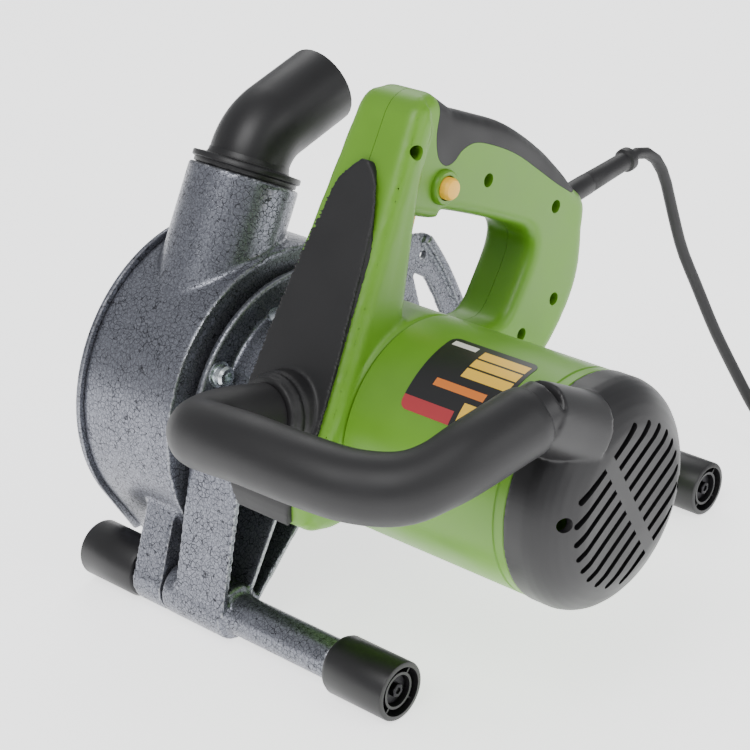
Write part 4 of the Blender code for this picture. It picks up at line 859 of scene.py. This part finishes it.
def build_cap():
    size = CAP_X1 - CAP_X0
    steps = [(0.0, 1.0), (0.36, 1.0), (0.50, 0.982), (0.62, 0.950), (0.73, 0.900), (0.83, 0.835),
             (0.91, 0.755), (0.97, 0.680), (1.0, 0.60)]
    edge = MOTOR_R + 0.0006
    profile = [(CAP_X0, 0.0)] + [(CAP_X0 + s * size, r * edge) for s, r in steps] + [(CAP_X1, 0.0)]
    line = bar_line()
    ahead = (line[-1] - line[-2]).normalized()
    inside = Vector((CAP_X0 + 0.014, MOTOR[0] - 0.020, MOTOR[1] + 0.047))
    boss = line[-1] + 0.018 * ahead
    shape = fuse(0.0011, 3, spun(profile, MOTOR, 128), bar(line[-1] + 0.0040 * ahead, boss, 0.0165, 64),
                 bar(line[-1] + 0.0115 * ahead, inside, 0.0180, 64, 0.0215))
    cut(shape, disc_bar(BARREL_X0, CAP_X0, MOTOR, MOTOR_R + GAP, 128))
    room = [(CAP_X0 - 0.01, 0.0), (CAP_X0 - 0.01, edge - 0.003)]
    room += [(CAP_X0 + s * (size - 0.003), r * edge - 0.003) for s, r in steps] + [(CAP_X1 - 0.003, 0.0)]
    cut(shape, spun(room, MOTOR, 96))
    lean, pitch, spread_radius = math.radians(30), 0.0094, 0.0470
    half = bpy.context.scene.chaser_sizes.slot_width / 2
    for k in range(-4, 5):
        reach = math.sqrt(spread_radius ** 2 - (pitch * k) ** 2)
        for side in (-1, 1):
            near, far = 0.0042, reach - half
            loop = [(side * near, -half), (side * far, -half)]
            loop += [(side * (far + half * math.sin(t)), -half * math.cos(t))
                     for t in map(math.radians, (30, 60, 90, 120, 150))]
            loop += [(side * far, half), (side * near, half)]
            placed = []
            for u, v in loop:
                v += pitch * k
                placed.append((MOTOR[0] + u * math.cos(lean) - v * math.sin(lean),
                               MOTOR[1] + u * math.sin(lean) + v * math.cos(lean)))
            cut(shape, outline_solid(placed, CAP_X1 - 0.012, CAP_X1 + 0.01))
    for angle in (170, -10):
        place = arc(MOTOR, 0.0525, angle, angle, 1)[0]
        cut(shape, disc_bar(CAP_X1 - 0.022, CAP_X1 + 0.01, place, 0.0042, 32))
    finish_piece(shape, "vented_end_cap", trim_plastic(), "black_plastic", "plunge_unit", "rear_cap",
                 angle=40)
    for number in (1, 2):
        low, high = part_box("cap_screw_%d" % number)
        middle = (low[1] + high[1]) / 2, (low[2] + high[2]) / 2
        screw_head((high[0] - 0.0035, *middle), (1, 0, 0), 0.0034, 0.0024, body="plunge_unit",
                   nodes=("cap_screw_%d" % number,), name="end_cap_screw_%d" % number,
                   finish=black_oxide)


# ---------------------------------------------------------------- handles
def from_motor(points):
    """Outline points given from the motor's axis."""
    return [(MOTOR[0] + y, MOTOR[1] + z) for y, z in points]


COLUMN_TOP = from_motor([(0.034, 0.166)])[0]
FACE_TOP = from_motor([(0.0159, 0.1761)])[0]
FACE_LOW = from_motor([(-0.0678, 0.0330)])[0]
GRIP_TOP = from_motor([(0.043, 0.182), (0.056, 0.172), (0.079, 0.162), (0.101, 0.152), (0.121, 0.139),
                       (0.142, 0.122), (0.160, 0.104), (0.173, 0.089)])
GRIP_LOW = from_motor([(0.164, 0.090), (0.148, 0.101), (0.130, 0.115), (0.110, 0.130), (0.090, 0.141),
                       (0.072, 0.148), (0.060, 0.147), (0.052, 0.142), (0.044, 0.142), (0.038, 0.149),
                       (0.037, 0.162), (0.040, 0.174)])
POST = from_motor([(0.178, 0.085), (0.182, 0.076), (0.180, 0.062), (0.178, 0.040), (0.171, 0.021),
                   (0.160, 0.006), (0.146, -0.008), (0.126, -0.022), (0.104, -0.030), (0.080, -0.034)])
WINDOW = from_motor([(0.012, 0.121), (0.040, 0.110), (0.045, 0.1135), (0.078, 0.100), (0.108, 0.086),
                     (0.121, 0.079), (0.127, 0.070), (0.124, 0.058), (0.112, 0.040), (0.103, 0.029),
                     (0.093, 0.0255), (0.075, 0.029)])
CHIN = from_motor([(-0.0795, 0.0130), (-0.0880, -0.0030), (-0.0925, -0.0180), (-0.0900, -0.0310),
                   (-0.0800, -0.0400), (-0.0660, -0.0440)])
COLUMN_HALF = [(MOTOR[1] - 0.045, 0.030), (MOTOR[1] + 0.030, 0.0355), (MOTOR[1] + 0.110, 0.0285),
               (MOTOR[1] + 0.187, 0.0240)]
COVER_HALF = [(MOTOR[1] - 0.030, 0.020), (MOTOR[1] + 0.010, 0.029), (MOTOR[1] + 0.030, 0.0305),
              (MOTOR[1] + 0.060, 0.0285), (MOTOR[1] + 0.083, 0.026), (MOTOR[1] + 0.112, 0.0228),
              (MOTOR[1] + 0.128, 0.0198), (MOTOR[1] + 0.138, 0.0168), (MOTOR[1] + 0.145, 0.0130),
              (MOTOR[1] + 0.150, 0.0080), (MOTOR[1] + 0.153, 0.0030)]
TRIGGER_AT = Vector(from_motor([(0.027, 0.1155)])[0])
TRIGGER_UP = Vector((0.36, 0.933))
TRIGGER_ALONG = Vector((0.933, -0.36))
LOCK_AT = from_motor([(0.042, 0.130)])[0]
HANDLE_HALF = 0.0205
BAR_RADIUS = 0.019
SHELL_WALL = 0.0028
SEAM = 0.00015
CAN_X0, CAN_X1 = STRIP_X1 + GAP, BARREL_X0 - GAP
SHELL_SCREWS = from_motor([(0.015, 0.159), (0.083, 0.122), (0.148, 0.086), (0.147, 0.025), (0.115, 0.012)])


def along(table, z):
    """Value at a height from a table of (height, value)."""
    if z <= table[0][0]:
        return table[0][1]
    for (z0, a), (z1, b) in zip(table, table[1:]):
        if z <= z1:
            return a + (b - a) * (z - z0) / (z1 - z0)
    return table[-1][1]


def eased(points, step=0.004):
    """The same outline with its corners eased into a smooth line."""
    return [(p.y, p.z) for p in smooth_route([(0.0, y, z) for y, z in points], step)]


def inset(points, distance):
    """The outline moved inwards by a distance, or outwards if it is negative."""
    area = sum(a[0] * b[1] - b[0] * a[1] for a, b in zip(points, points[1:] + points[:1]))
    side = distance if area > 0 else -distance
    moved = []
    for before, here, after in zip(points[-1:] + points[:-1], points, points[1:] + points[:1]):
        first = (Vector(here) - Vector(before)).normalized()
        second = (Vector(after) - Vector(here)).normalized()
        normal = Vector((-first.y - second.y, first.x + second.x))
        if normal.length < 1e-6:
            normal = Vector((-first.y, first.x))
        normal.normalize()
        reach = max(0.5, normal.dot(Vector((-first.y, first.x))))
        moved.append(tuple(Vector(here) + normal * (side / reach)))
    return moved


def spread(piece, half):
    """Move a plate's two faces out to half(z) either side of the handle's middle."""
    for vertex in piece.data.vertices:
        vertex.co.x = HANDLE_X + math.copysign(half(vertex.co.z), vertex.co.x - HANDLE_X)
    return piece


def whole_outline():
    """Outline of column, D handle and grip together."""
    top = arc(COLUMN_TOP, 0.020, 150, 75, 12)
    under = arc(MOTOR, MOTOR_R - 0.006, -35, -135, 24)
    back = eased(GRIP_TOP[1:] + POST, 0.005)
    return top + back + under + CHIN[::-1] + [FACE_LOW]


def window_outline():
    can = arc(MOTOR, MOTOR_R - 0.006, 24, 88, 12)
    return eased(WINDOW, 0.004) + can + from_motor([(0.002, 0.0750)])


def column_outline():
    shape = arc(COLUMN_TOP, 0.020, 150, 100, 8)
    shape += from_motor([(0.034, 0.166), (0.020, 0.140), (0.010, 0.121), (0.000, 0.078), (-0.005, 0.060)])
    return shape + arc(MOTOR, MOTOR_R - 0.006, 95, 228, 32) + CHIN[::-1] + [FACE_LOW]


def rounding(radius, count=6):
    """(inset, loss of half width) pairs round a quarter circle."""
    for i in range(count + 1):
        turn = math.radians(90 * i / count)
        yield radius * (1 - math.cos(turn)), radius * (1 - math.sin(turn))


def handle_solid():
    parts = []
    for d, loss in rounding(0.0085):
        half = HANDLE_HALF - loss
        slab = outline_solid(inset(whole_outline(), d), HANDLE_X - half, HANDLE_X + half)
        window = outline_solid(inset(window_outline(), -0.7 * d), HANDLE_X - 0.04, HANDLE_X + 0.04)
        parts.append(cut(slab, window))
    for d, loss in rounding(0.0085, 5):
        column = outline_solid(inset(column_outline(), d), HANDLE_X - 0.03, HANDLE_X + 0.03)
        parts.append(spread(column, lambda z: along(COLUMN_HALF, z) - loss))
    can = [(CAN_X0, 0.0), (CAN_X0, MOTOR_R - 0.001), (CAN_X0 + 0.001, MOTOR_R), (CAN_X1 - 0.001, MOTOR_R),
           (CAN_X1, MOTOR_R - 0.001), (CAN_X1, 0.0)]
    parts.append(spun(can, MOTOR, 128))
    return fuse(0.0014, 7, *parts)


def build_handle():
    whole = handle_solid()
    saddle = eased(GRIP_LOW, 0.003) + from_motor([(0.046, 0.200), (0.200, 0.200), (0.200, 0.086)])
    grip = common(twin(whole), outline_solid(inset(saddle, 0.0002), HANDLE_X - 0.06, HANDLE_X + 0.06))
    finish_piece(grip, "soft_grip_overmould", grip_rubber(), "black_soft_grip", "plunge_unit", "soft_grip",
                 angle=40)
    cut(whole, outline_solid(saddle, HANDLE_X - 0.06, HANDLE_X + 0.06))
    rooms = [outline_solid(inset(column_outline(), SHELL_WALL), HANDLE_X - 0.03, HANDLE_X + 0.03)]
    spread(rooms[0], lambda z: along(COLUMN_HALF, z) - SHELL_WALL)
    rooms.append(disc_bar(CAN_X0 - 0.01, CAN_X1 + 0.01, MOTOR, MOTOR_R - 0.0038, 96))
    cut(whole, *rooms)
    slot = [tuple(TRIGGER_AT + TRIGGER_ALONG * s + TRIGGER_UP * t) for s, t in
            ((-0.0095, -0.010), (0.0095, -0.010), (0.0095, 0.012), (-0.0095, 0.012))]
    cut(whole, outline_solid(slot, HANDLE_X - 0.0075, HANDLE_X + 0.0075))
    cut(whole, bar(CORD_EXIT - 0.03 * CORD_EXIT_WAY, CORD_EXIT + 0.03 * CORD_EXIT_WAY, 0.0074, 32))
    face = HANDLE_X + HANDLE_HALF
    collar = [(face - 0.002, 0.0), (face - 0.002, 0.0108), (face + 0.0010, 0.0105), (face + 0.0028, 0.0101),
              (face + 0.0035, 0.0093), (face + 0.0035, 0.0)]
    whole = join(whole, spun(collar, LOCK_AT, 48))
    cut(whole, disc_bar(HANDLE_X - 0.004, face + 0.02, LOCK_AT, 0.0074, 40))
    for place in SHELL_SCREWS:
        cut(whole, disc_bar(face - 0.0085, face + 0.02, place, 0.0042, 32))
    left = refill(cut(twin(whole), block((HANDLE_X - SEAM, -1, -1), (1, 1, 1))), HANDLE_X - SEAM)
    right = refill(cut(whole, block((-1, -1, -1), (HANDLE_X + SEAM, 1, 1))), HANDLE_X + SEAM)
    for half, side in ((right, "right"), (left, "left")):
        finish_piece(half, "moulded_shell_" + side, shell_plastic(), "green_shell", "plunge_unit",
                     "handle_shell_" + side, angle=40)
    for number, place in enumerate(SHELL_SCREWS, 1):
        screw_head((face - 0.0083, *place), (1, 0, 0), 0.0036, 0.0016, body="plunge_unit",
                   name="shell_screw_%d" % number, finish=black_oxide)


def bar_line():
    """The bar handle's middle line as closely spaced points."""
    y, z = MOTOR
    front = y - 0.148
    points = [(HANDLE_X, y - 0.0885, z + 0.0285), (HANDLE_X - 0.001, y - 0.110, z + 0.0345),
              (HANDLE_X - 0.001, y - 0.127, z + 0.0385), (HANDLE_X + 0.007, y - 0.142, z + 0.0420),
              (HANDLE_X + 0.025, front + 0.001, z + 0.0460), (HANDLE_X + 0.050, front, z + 0.0485),
              (HANDLE_X + 0.086, front + 0.002, z + 0.0480), (HANDLE_X + 0.114, y - 0.140, z + 0.0465),
              (HANDLE_X + 0.136, y - 0.128, z + 0.0475), (CAP_X0 - 0.003, y - 0.112, z + 0.0530),
              (CAP_X0 + 0.004, y - 0.092, z + 0.0600), (CAP_X0 + 0.010, y - 0.066, z + 0.0665)]
    return smooth_route(points, 0.004)


def build_bar():
    """The bar's soft sleeve runs on over the end cap's boss and closes in a rounded end."""
    line = bar_line()
    radii = []
    for i in range(len(line)):
        t = i / (len(line) - 1)
        radii.append(1 - 0.045 * math.exp(-((t - 0.16) / 0.05) ** 2)
                     - 0.045 * math.exp(-((t - 0.80) / 0.05) ** 2))
    ahead = (line[-1] - line[-2]).normalized()
    tip = line[-1]
    for step, radius in ((0.003, 1.0), (0.006, 0.975), (0.009, 0.92), (0.0115, 0.83), (0.0135, 0.70),
                         (0.0148, 0.52)):
        line.append(tip + step * ahead)
        radii.append(radius)
    shape = meshed(tube(line, BAR_RADIUS - 0.0001, resolution=14, radii=radii))
    finish_piece(shape, "bar_handle_overmould", grip_rubber(), "black_soft_grip", "plunge_unit", "bar_handle",
                 angle=50)


def build_spine_cover():
    shares = [0.163, 0.170, 0.180, 0.192, 0.206, 0.222, 0.24, 0.27, 0.30, 0.35, 0.40]
    shares += [0.50, 0.60, 0.70, 0.80, 0.90]
    line = [tuple(Vector(FACE_TOP).lerp(Vector(FACE_LOW), share)) for share in shares]
    line += eased([FACE_LOW] + CHIN[:-2], 0.004)
    outer, inner = [], []
    for before, here, after in zip(line[:1] + line[:-1], line, line[1:] + line[-1:]):
        run = (Vector(after) - Vector(before)).normalized()
        normal = Vector((run.y, -run.x))
        inner.append(tuple(Vector(here) - normal * 0.0015))
        outer.append(tuple(Vector(here) + normal * 0.0033))
    shape = outline_solid(outer + inner[::-1], HANDLE_X - 0.01, HANDLE_X + 0.01)
    spread(shape, lambda z: along(COVER_HALF, z))
    way = bar_line()
    away = (way[1] - way[0]).normalized()
    socket = [(-0.019, 0.0), (-0.019, 0.0255), (-0.0105, 0.0250), (-0.0095, 0.0236), (-0.0080, 0.0236),
              (-0.0070, 0.0246), (-0.0045, 0.0238), (-0.0036, 0.0226), (-0.0024, 0.0228), (-0.0008, 0.0222),
              (-0.0004, 0.0205), (-0.0004, 0.0)]
    shape = fuse(0.0010, 2, shape, spun_along(socket, way[0], away, 64))
    finish_piece(shape, "spine_cover_overmould", grip_rubber(), "black_soft_grip", "plunge_unit",
                 "spine_cover")


def build_switch():
    u, up = TRIGGER_ALONG, TRIGGER_UP
    outline = [tuple(TRIGGER_AT + u * s + up * t) for s, t in
               ((-0.0085, 0.0075), (-0.0085, -0.012), (-0.0065, -0.0195), (0.0055, -0.0195), (0.0085, -0.012),
                (0.0085, 0.0075))]
    shape = edge_bevel(outline_solid(outline, HANDLE_X - 0.0070, HANDLE_X + 0.0070), 0.0014, 4)
    finish_piece(shape, "trigger_lever", button_plastic(), "yellow_plastic", "trigger", "trigger", angle=35)
    face = HANDLE_X + HANDLE_HALF
    profile = [(face + 0.0085, 0.0), (face + 0.0085, 0.0040), (face + 0.0081, 0.0054),
               (face + 0.0070, 0.0062), (face + 0.0062, 0.0066), (face - 0.0085, 0.0066), (face - 0.0085, 0.0)]
    finish_piece(spun(profile, LOCK_AT, 48), "lock_off_cap", button_plastic(), "yellow_plastic", "lock_off",
                 "lock_off_button", angle=35)


# ---------------------------------------------------------------- cord
CORD_R = 0.004
CORD_EXIT_WAY = Vector((0, 0.995, 0.095)).normalized()
CORD_EXIT = Vector((HANDLE_X, MOTOR[0] + 0.1945, MOTOR[1] + 0.0775))
RELIEF_END = CORD_EXIT + 0.058 * CORD_EXIT_WAY
CORD_ROUTE = [(0.000, 0.000, 0.000), (0.000, 0.009, 0.0004), (0.0005, 0.019, -0.003),
              (0.002, 0.0285, -0.0115), (0.004, 0.035, -0.026), (0.007, 0.040, -0.048), (0.012, 0.046, -0.076), (0.020, 0.054, -0.104),
              (0.030, 0.064, -0.138), (0.043, 0.073, -0.170), (0.056, 0.077, -0.193), (0.071, 0.076, -0.2075)]
COIL_CENTRE = Vector((HANDLE_X + 0.205, CORD_EXIT.y + 0.124, 0.0))
COIL_OUTER, COIL_PITCH = 0.0646, 0.0081
LOW_TURN, HIGH_TURN = 0.0045, 0.0127


def coil_points():
    """Two flat layers of turns: in on the floor, up at the middle, and out on top."""
    points, turn_steps = [], 30
    angle, radius = math.radians(-127.2), COIL_OUTER
    way = 2 * math.pi / turn_steps

    def place(height):
        points.append(Vector((COIL_CENTRE.x + radius * math.cos(angle),
                              COIL_CENTRE.y + radius * math.sin(angle), height)))

    place(LOW_TURN)
    for _ in range(4 * turn_steps):
        angle += way
        radius -= COIL_PITCH / turn_steps
        place(LOW_TURN)
    rise = 6
    for i in range(1, rise + 1):
        angle += way
        share = i / rise
        place(LOW_TURN + (HIGH_TURN - LOW_TURN) * share * share * (3 - 2 * share))
    end = math.radians(-90 + 360 * 8)
    count = round((end - angle) / way)
    step = (end - angle) / count
    for _ in range(count):
        angle += step
        radius += COIL_PITCH * step / (2 * math.pi)
        place(HIGH_TURN)
    return points


def cord_line():
    start = RELIEF_END + 0.0022 * CORD_EXIT_WAY
    free = [RELIEF_END - 0.002 * CORD_EXIT_WAY] + [start + Vector(p) for p in CORD_ROUTE]
    free += [Vector((x, y, LOW_TURN)) for x, y in
             ((0.0800, 0.2866), (0.0975, 0.2775), (0.1150, 0.2625), (0.1345, 0.2455))]
    coil = coil_points()
    lead_in = smooth_route(free + coil[:1], 0.011)
    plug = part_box("mains_plug")
    entry = Vector((plug[0][0] + 0.004, (plug[0][1] + plug[1][1]) / 2, (plug[0][2] + plug[1][2]) / 2))
    last = coil[-1]
    tail = [last.lerp(entry, t) for t in (0.25, 0.5, 0.75, 1.0)]
    for point, t in zip(tail, (0.25, 0.5, 0.75, 1.0)):
        point.z = last.z + (entry.z - last.z) * t * t * (3 - 2 * t)
    return lead_in + coil[1:] + tail


def build_cord():
    line = cord_line()
    shape = meshed(tube(line, CORD_R, "mains_lead", resolution=4))
    finish_piece(shape, "mains_lead", cord_rubber(), "black_rubber", "frame", angle=60)
    shape.parent = None
    shape.matrix_world = Matrix.Identity(4)
    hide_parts("power_cord", "cord_coil")
    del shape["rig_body"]
    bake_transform(shape)

    low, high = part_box("mains_plug")
    base = Vector((low[0], (low[1] + high[1]) / 2, (low[2] + high[2]) / 2))
    way = Vector((1, 0, 0))
    body = [(0.0, 0.0), (0.0, 0.0046), (0.0005, 0.0052)]
    for k in range(5):
        x = 0.002 + 0.0044 * k
        radius = 0.0054 + 0.00032 * k
        body += [(x, radius), (x + 0.0026, radius + 0.0004), (x + 0.0030, radius - 0.0011),
                 (x + 0.0041, radius - 0.0010)]
    body += [(0.0245, 0.0085), (0.0262, 0.0118), (0.030, 0.0128), (0.040, 0.0135), (0.050, 0.0158),
             (0.054, 0.0164), (0.0585, 0.0165), (0.0598, 0.0158), (0.060, 0.0145), (0.060, 0.0)]
    plug = spun_along(body, base, way, 64)
    pins = [spun_along([(0.0595, 0.0), (0.0595, 0.0024), (0.0765, 0.0024), (0.0785, 0.0014), (0.079, 0.0)],
                       base + Vector((0, side * 0.0095, 0)), way, 24) for side in (-1, 1)]
    finish_piece(plug, "rubber_plug_body", cord_rubber(), "black_rubber", "frame", "mains_plug", angle=40)
    for number, pin in enumerate(pins, 1):
        finish_piece(pin, "plug_pin_%d" % number, zinc_plate(), "zinc_plate", "frame", angle=40)

    spot = math.radians(60)
    ring, inner, outer, top, bottom = [], 0.0276, 0.0696, 0.0174, 0.0006
    for r, z, turn in ((inner + 0.004, top - 0.004, 90), (inner + 0.004, bottom + 0.004, 180),
                       (outer - 0.004, bottom + 0.004, 270), (outer - 0.004, top - 0.004, 0)):
        for i in range(7):
            a = math.radians(turn + 15 * i)
            ring.append((r + 0.004 * math.cos(a), z + 0.004 * math.sin(a)))
    tie = outline_solid(ring, -0.0035, 0.0035)
    cut(tie, outline_solid(inset(ring, 0.0011), -0.01, 0.01))
    edge_bevel(tie, 0.0003, 2)
    turn = Matrix(((-math.sin(spot), math.cos(spot), 0), (math.cos(spot), math.sin(spot), 0),
                   (0, 0, 1))).to_4x4()
    tie.data.transform(Matrix.Translation(COIL_CENTRE) @ turn)
    in_edit(tie)
    finish_piece(tie, "cord_tie", trim_plastic(), "black_plastic", "frame", angle=35)


def build_relief():
    profile = [(-0.012, 0.0), (-0.012, 0.0066), (0.0010, 0.0070), (0.0120, 0.0069), (0.0128, 0.0064),
               (0.0140, 0.0063), (0.0148, 0.0067), (0.0300, 0.0064), (0.0500, 0.0061), (0.0520, 0.0063),
               (0.0530, 0.0078), (0.0555, 0.0080), (0.0580, 0.0077), (0.0588, 0.0066), (0.0590, 0.0)]
    shape = spun_along(profile, CORD_EXIT, CORD_EXIT_WAY, 48)
    finish_piece(shape, "cord_strain_relief", cord_rubber(), "black_rubber", "plunge_unit", "strain_relief",
                 angle=35)


# ---------------------------------------------------------------- inner parts
INNER_FINISH = {
    "front_axle": zinc_plate, "rear_axle": zinc_plate, "spindle": ground_steel, "driven_gear": ground_steel,
    "inner_flange": ground_steel, "clamp_nut": zinc_plate, "bearing_plate": bare_iron,
    "spindle_bearing_inner": ground_steel, "spindle_bearing_outer": ground_steel,
    "motor_bearing_front": ground_steel, "motor_bearing_rear": ground_steel, "armature": copper_wire,
    "stator": bare_iron, "cooling_fan": trim_plastic, "carbon_brush_front": carbon_block,
    "carbon_brush_rear": carbon_block, "switch_body": trim_plastic,
    **{"disc_spacer_%d" % number: ground_steel for number in range(1, 5)},
}


def finish_inner_parts():
    for name, finish in INNER_FINISH.items():
        part = frame["nodes"][name]
        if not part.material_slots:
            part.data.materials.append(None)
        for place in part.material_slots:
            place.link = "OBJECT"
            place.material = finish()


def build_cover_screws():
    for number in (1, 2, 3):
        low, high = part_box("cover_screw_%d" % number)
        place = (high[0], (low[1] + high[1]) / 2, (low[2] + high[2]) / 2)
        radius = min(high[1] - low[1], high[2] - low[2]) / 2
        screw_head(place, (-1, 0, 0), radius - 0.0002, high[0] - low[0], body="frame",
                   nodes=("cover_screw_%d" % number,), name="guard_cover_screw_%d" % number)


# ---------------------------------------------------------------- stage
CAMERA_PLACE = (0.7394, -0.8523, 0.6902)
CAMERA_TURN = ((0.744, -0.2746, 0.6092), (0.6678, 0.3362, -0.664), (-0.0225, 0.9009, 0.4335))


def build_camera():
    lens = bpy.data.cameras.new("view_camera")
    lens.lens = 101.3
    lens.sensor_width = 36.0
    lens.clip_start = 0.01
    camera = bpy.data.objects.new("view_camera", lens)
    bpy.context.scene.collection.objects.link(camera)
    turn = Matrix(CAMERA_TURN).to_quaternion().to_matrix().to_4x4()
    camera.matrix_world = Matrix.Translation(CAMERA_PLACE) @ turn
    bpy.context.scene.camera = camera


def build_stage():
    bpy.ops.object.select_all(action="DESELECT")
    bpy.ops.mesh.primitive_plane_add(size=14.0, location=(0, 0, -0.0002))
    floor = bpy.context.object
    floor.name = "studio_floor"
    made, tree, shader, place = blank("matt_studio_paper", 0.85)
    colour = ramp(tree, noise(tree, place, 3.0), [(0.3, "#F4F4F5"), (0.7, "#F8F8F8")])
    tree.links.new(colour, shader.inputs["Base Color"])
    shader.inputs["Emission Color"].default_value = linear("#FFFFFF")
    shader.inputs["Emission Strength"].default_value = 1.6
    floor.data.materials.append(made)
    world = bpy.data.worlds.new("studio")
    world.use_nodes = True
    sky = world.node_tree.nodes["Background"].inputs
    sky["Color"].default_value = linear("#F4F6F8")
    sky["Strength"].default_value = 0.6
    bpy.context.scene.world = world
    lamps = (("key", (0.2, -1.3, 1.9), 1.2, 26.0), ("side", (1.9, 0.2, 1.1), 1.3, 14.0),
             ("back", (-1.2, 1.4, 1.6), 1.4, 15.0))
    for name, place, size, power in lamps:
        lamp = bpy.data.lights.new(name, "AREA")
        lamp.size = size
        lamp.energy = power
        light = bpy.data.objects.new(name, lamp)
        bpy.context.scene.collection.objects.link(light)
        aim = Vector((0, 0, 0.15)) - Vector(place)
        light.matrix_world = Matrix.Translation(place) @ aim.to_track_quat("-Z", "Y").to_matrix().to_4x4()


# ---------------------------------------------------------------- operators and panel
class CHASER_OT_stage(bpy.types.Operator):
    """Add the camera, the pale floor and the soft studio lights"""
    bl_idname = "chaser.stage"
    bl_label = "Camera and stage"

    def execute(self, context):
        build_camera()
        build_stage()
        return {"FINISHED"}


class CHASER_OT_cord(bpy.types.Operator):
    """Add the mains lead with its coil, plug and tie, and the strain relief it leaves by"""
    bl_idname = "chaser.cord"
    bl_label = "Mains lead"

    def execute(self, context):
        build_cord()
        build_relief()
        return {"FINISHED"}


class CHASER_OT_guard(bpy.types.Operator):
    """Add the cast guard with its dust nozzle, and its side cover with screws"""
    bl_idname = "chaser.guard"
    bl_label = "Guard"

    def execute(self, context):
        build_guard()
        build_cover_screws()
        return {"FINISHED"}


class CHASER_OT_quadrant(bpy.types.Operator):
    """Add the cast quadrant that carries the rear rollers"""
    bl_idname = "chaser.quadrant"
    bl_label = "Depth quadrant"

    def execute(self, context):
        build_rear_frame()
        return {"FINISHED"}


class CHASER_OT_rollers(bpy.types.Operator):
    """Add the four rollers and the ends of their axles"""
    bl_idname = "chaser.rollers"
    bl_label = "Rollers"

    def execute(self, context):
        build_rollers()
        return {"FINISHED"}


class CHASER_OT_elbow(bpy.types.Operator):
    """Add the rubber elbow that turns on the dust nozzle"""
    bl_idname = "chaser.elbow"
    bl_label = "Dust elbow"

    def execute(self, context):
        build_elbow()
        return {"FINISHED"}


class CHASER_OT_arm(bpy.types.Operator):
    """Add the cast plunge arm with its gear case, bolt and spindle lock"""
    bl_idname = "chaser.arm"
    bl_label = "Plunge arm"

    def execute(self, context):
        build_arm()
        return {"FINISHED"}


class CHASER_OT_discs(bpy.types.Operator):
    """Add the five segmented discs"""
    bl_idname = "chaser.discs"
    bl_label = "Discs"

    def execute(self, context):
        build_discs()
        return {"FINISHED"}


class CHASER_OT_motor(bpy.types.Operator):
    """Add the motor barrel, its plain plate and its vented end cap"""
    bl_idname = "chaser.motor"
    bl_label = "Motor"

    def execute(self, context):
        build_motor()
        build_label()
        build_cap()
        return {"FINISHED"}


class CHASER_OT_handles(bpy.types.Operator):
    """Add the D handle's shells and soft grip, the spine cover and the bar handle"""
    bl_idname = "chaser.handles"
    bl_label = "Handles"

    def execute(self, context):
        build_handle()
        build_spine_cover()
        build_bar()
        return {"FINISHED"}


class CHASER_OT_switch(bpy.types.Operator):
    """Add the trigger and the lock-off button"""
    bl_idname = "chaser.switch"
    bl_label = "Switch"

    def execute(self, context):
        build_switch()
        return {"FINISHED"}


class CHASER_OT_inner(bpy.types.Operator):
    """Give the axles, gears, bearings and motor parts inside their finishes"""
    bl_idname = "chaser.inner"
    bl_label = "Inner parts"

    def execute(self, context):
        finish_inner_parts()
        return {"FINISHED"}


STEPS = (CHASER_OT_stage, CHASER_OT_cord, CHASER_OT_guard, CHASER_OT_quadrant, CHASER_OT_rollers,
         CHASER_OT_elbow, CHASER_OT_arm, CHASER_OT_discs, CHASER_OT_motor, CHASER_OT_handles,
         CHASER_OT_switch, CHASER_OT_inner)


class CHASER_PT_panel(bpy.types.Panel):
    """Sizes, colours and build steps of the wall chaser"""
    bl_label = "Wall chaser"
    bl_idname = "CHASER_PT_panel"
    bl_space_type = "VIEW_3D"
    bl_region_type = "UI"
    bl_category = "Wall chaser"

    def draw(self, context):
        for settings in (context.scene.chaser_sizes, context.scene.chaser_colours):
            for name in settings.__annotations__:
                self.layout.prop(settings, name)
        for step in STEPS:
            self.layout.operator(step.bl_idname)


CLASSES = (ChaserSizes, ChaserColours) + STEPS + (CHASER_PT_panel,)


def register():
    for each in CLASSES:
        bpy.utils.register_class(each)
    bpy.types.Scene.chaser_sizes = bpy.props.PointerProperty(type=ChaserSizes)
    bpy.types.Scene.chaser_colours = bpy.props.PointerProperty(type=ChaserColours)


def unregister():
    del bpy.types.Scene.chaser_colours
    del bpy.types.Scene.chaser_sizes
    for each in reversed(CLASSES):
        bpy.utils.unregister_class(each)


def main():
    register()
    for step in STEPS:
        group, name = step.bl_idname.split(".")
        if getattr(getattr(bpy.ops, group), name)() != {"FINISHED"}:
            raise RuntimeError("the step %s did not finish" % step.bl_idname)


if __name__ == "__main__":
    main()
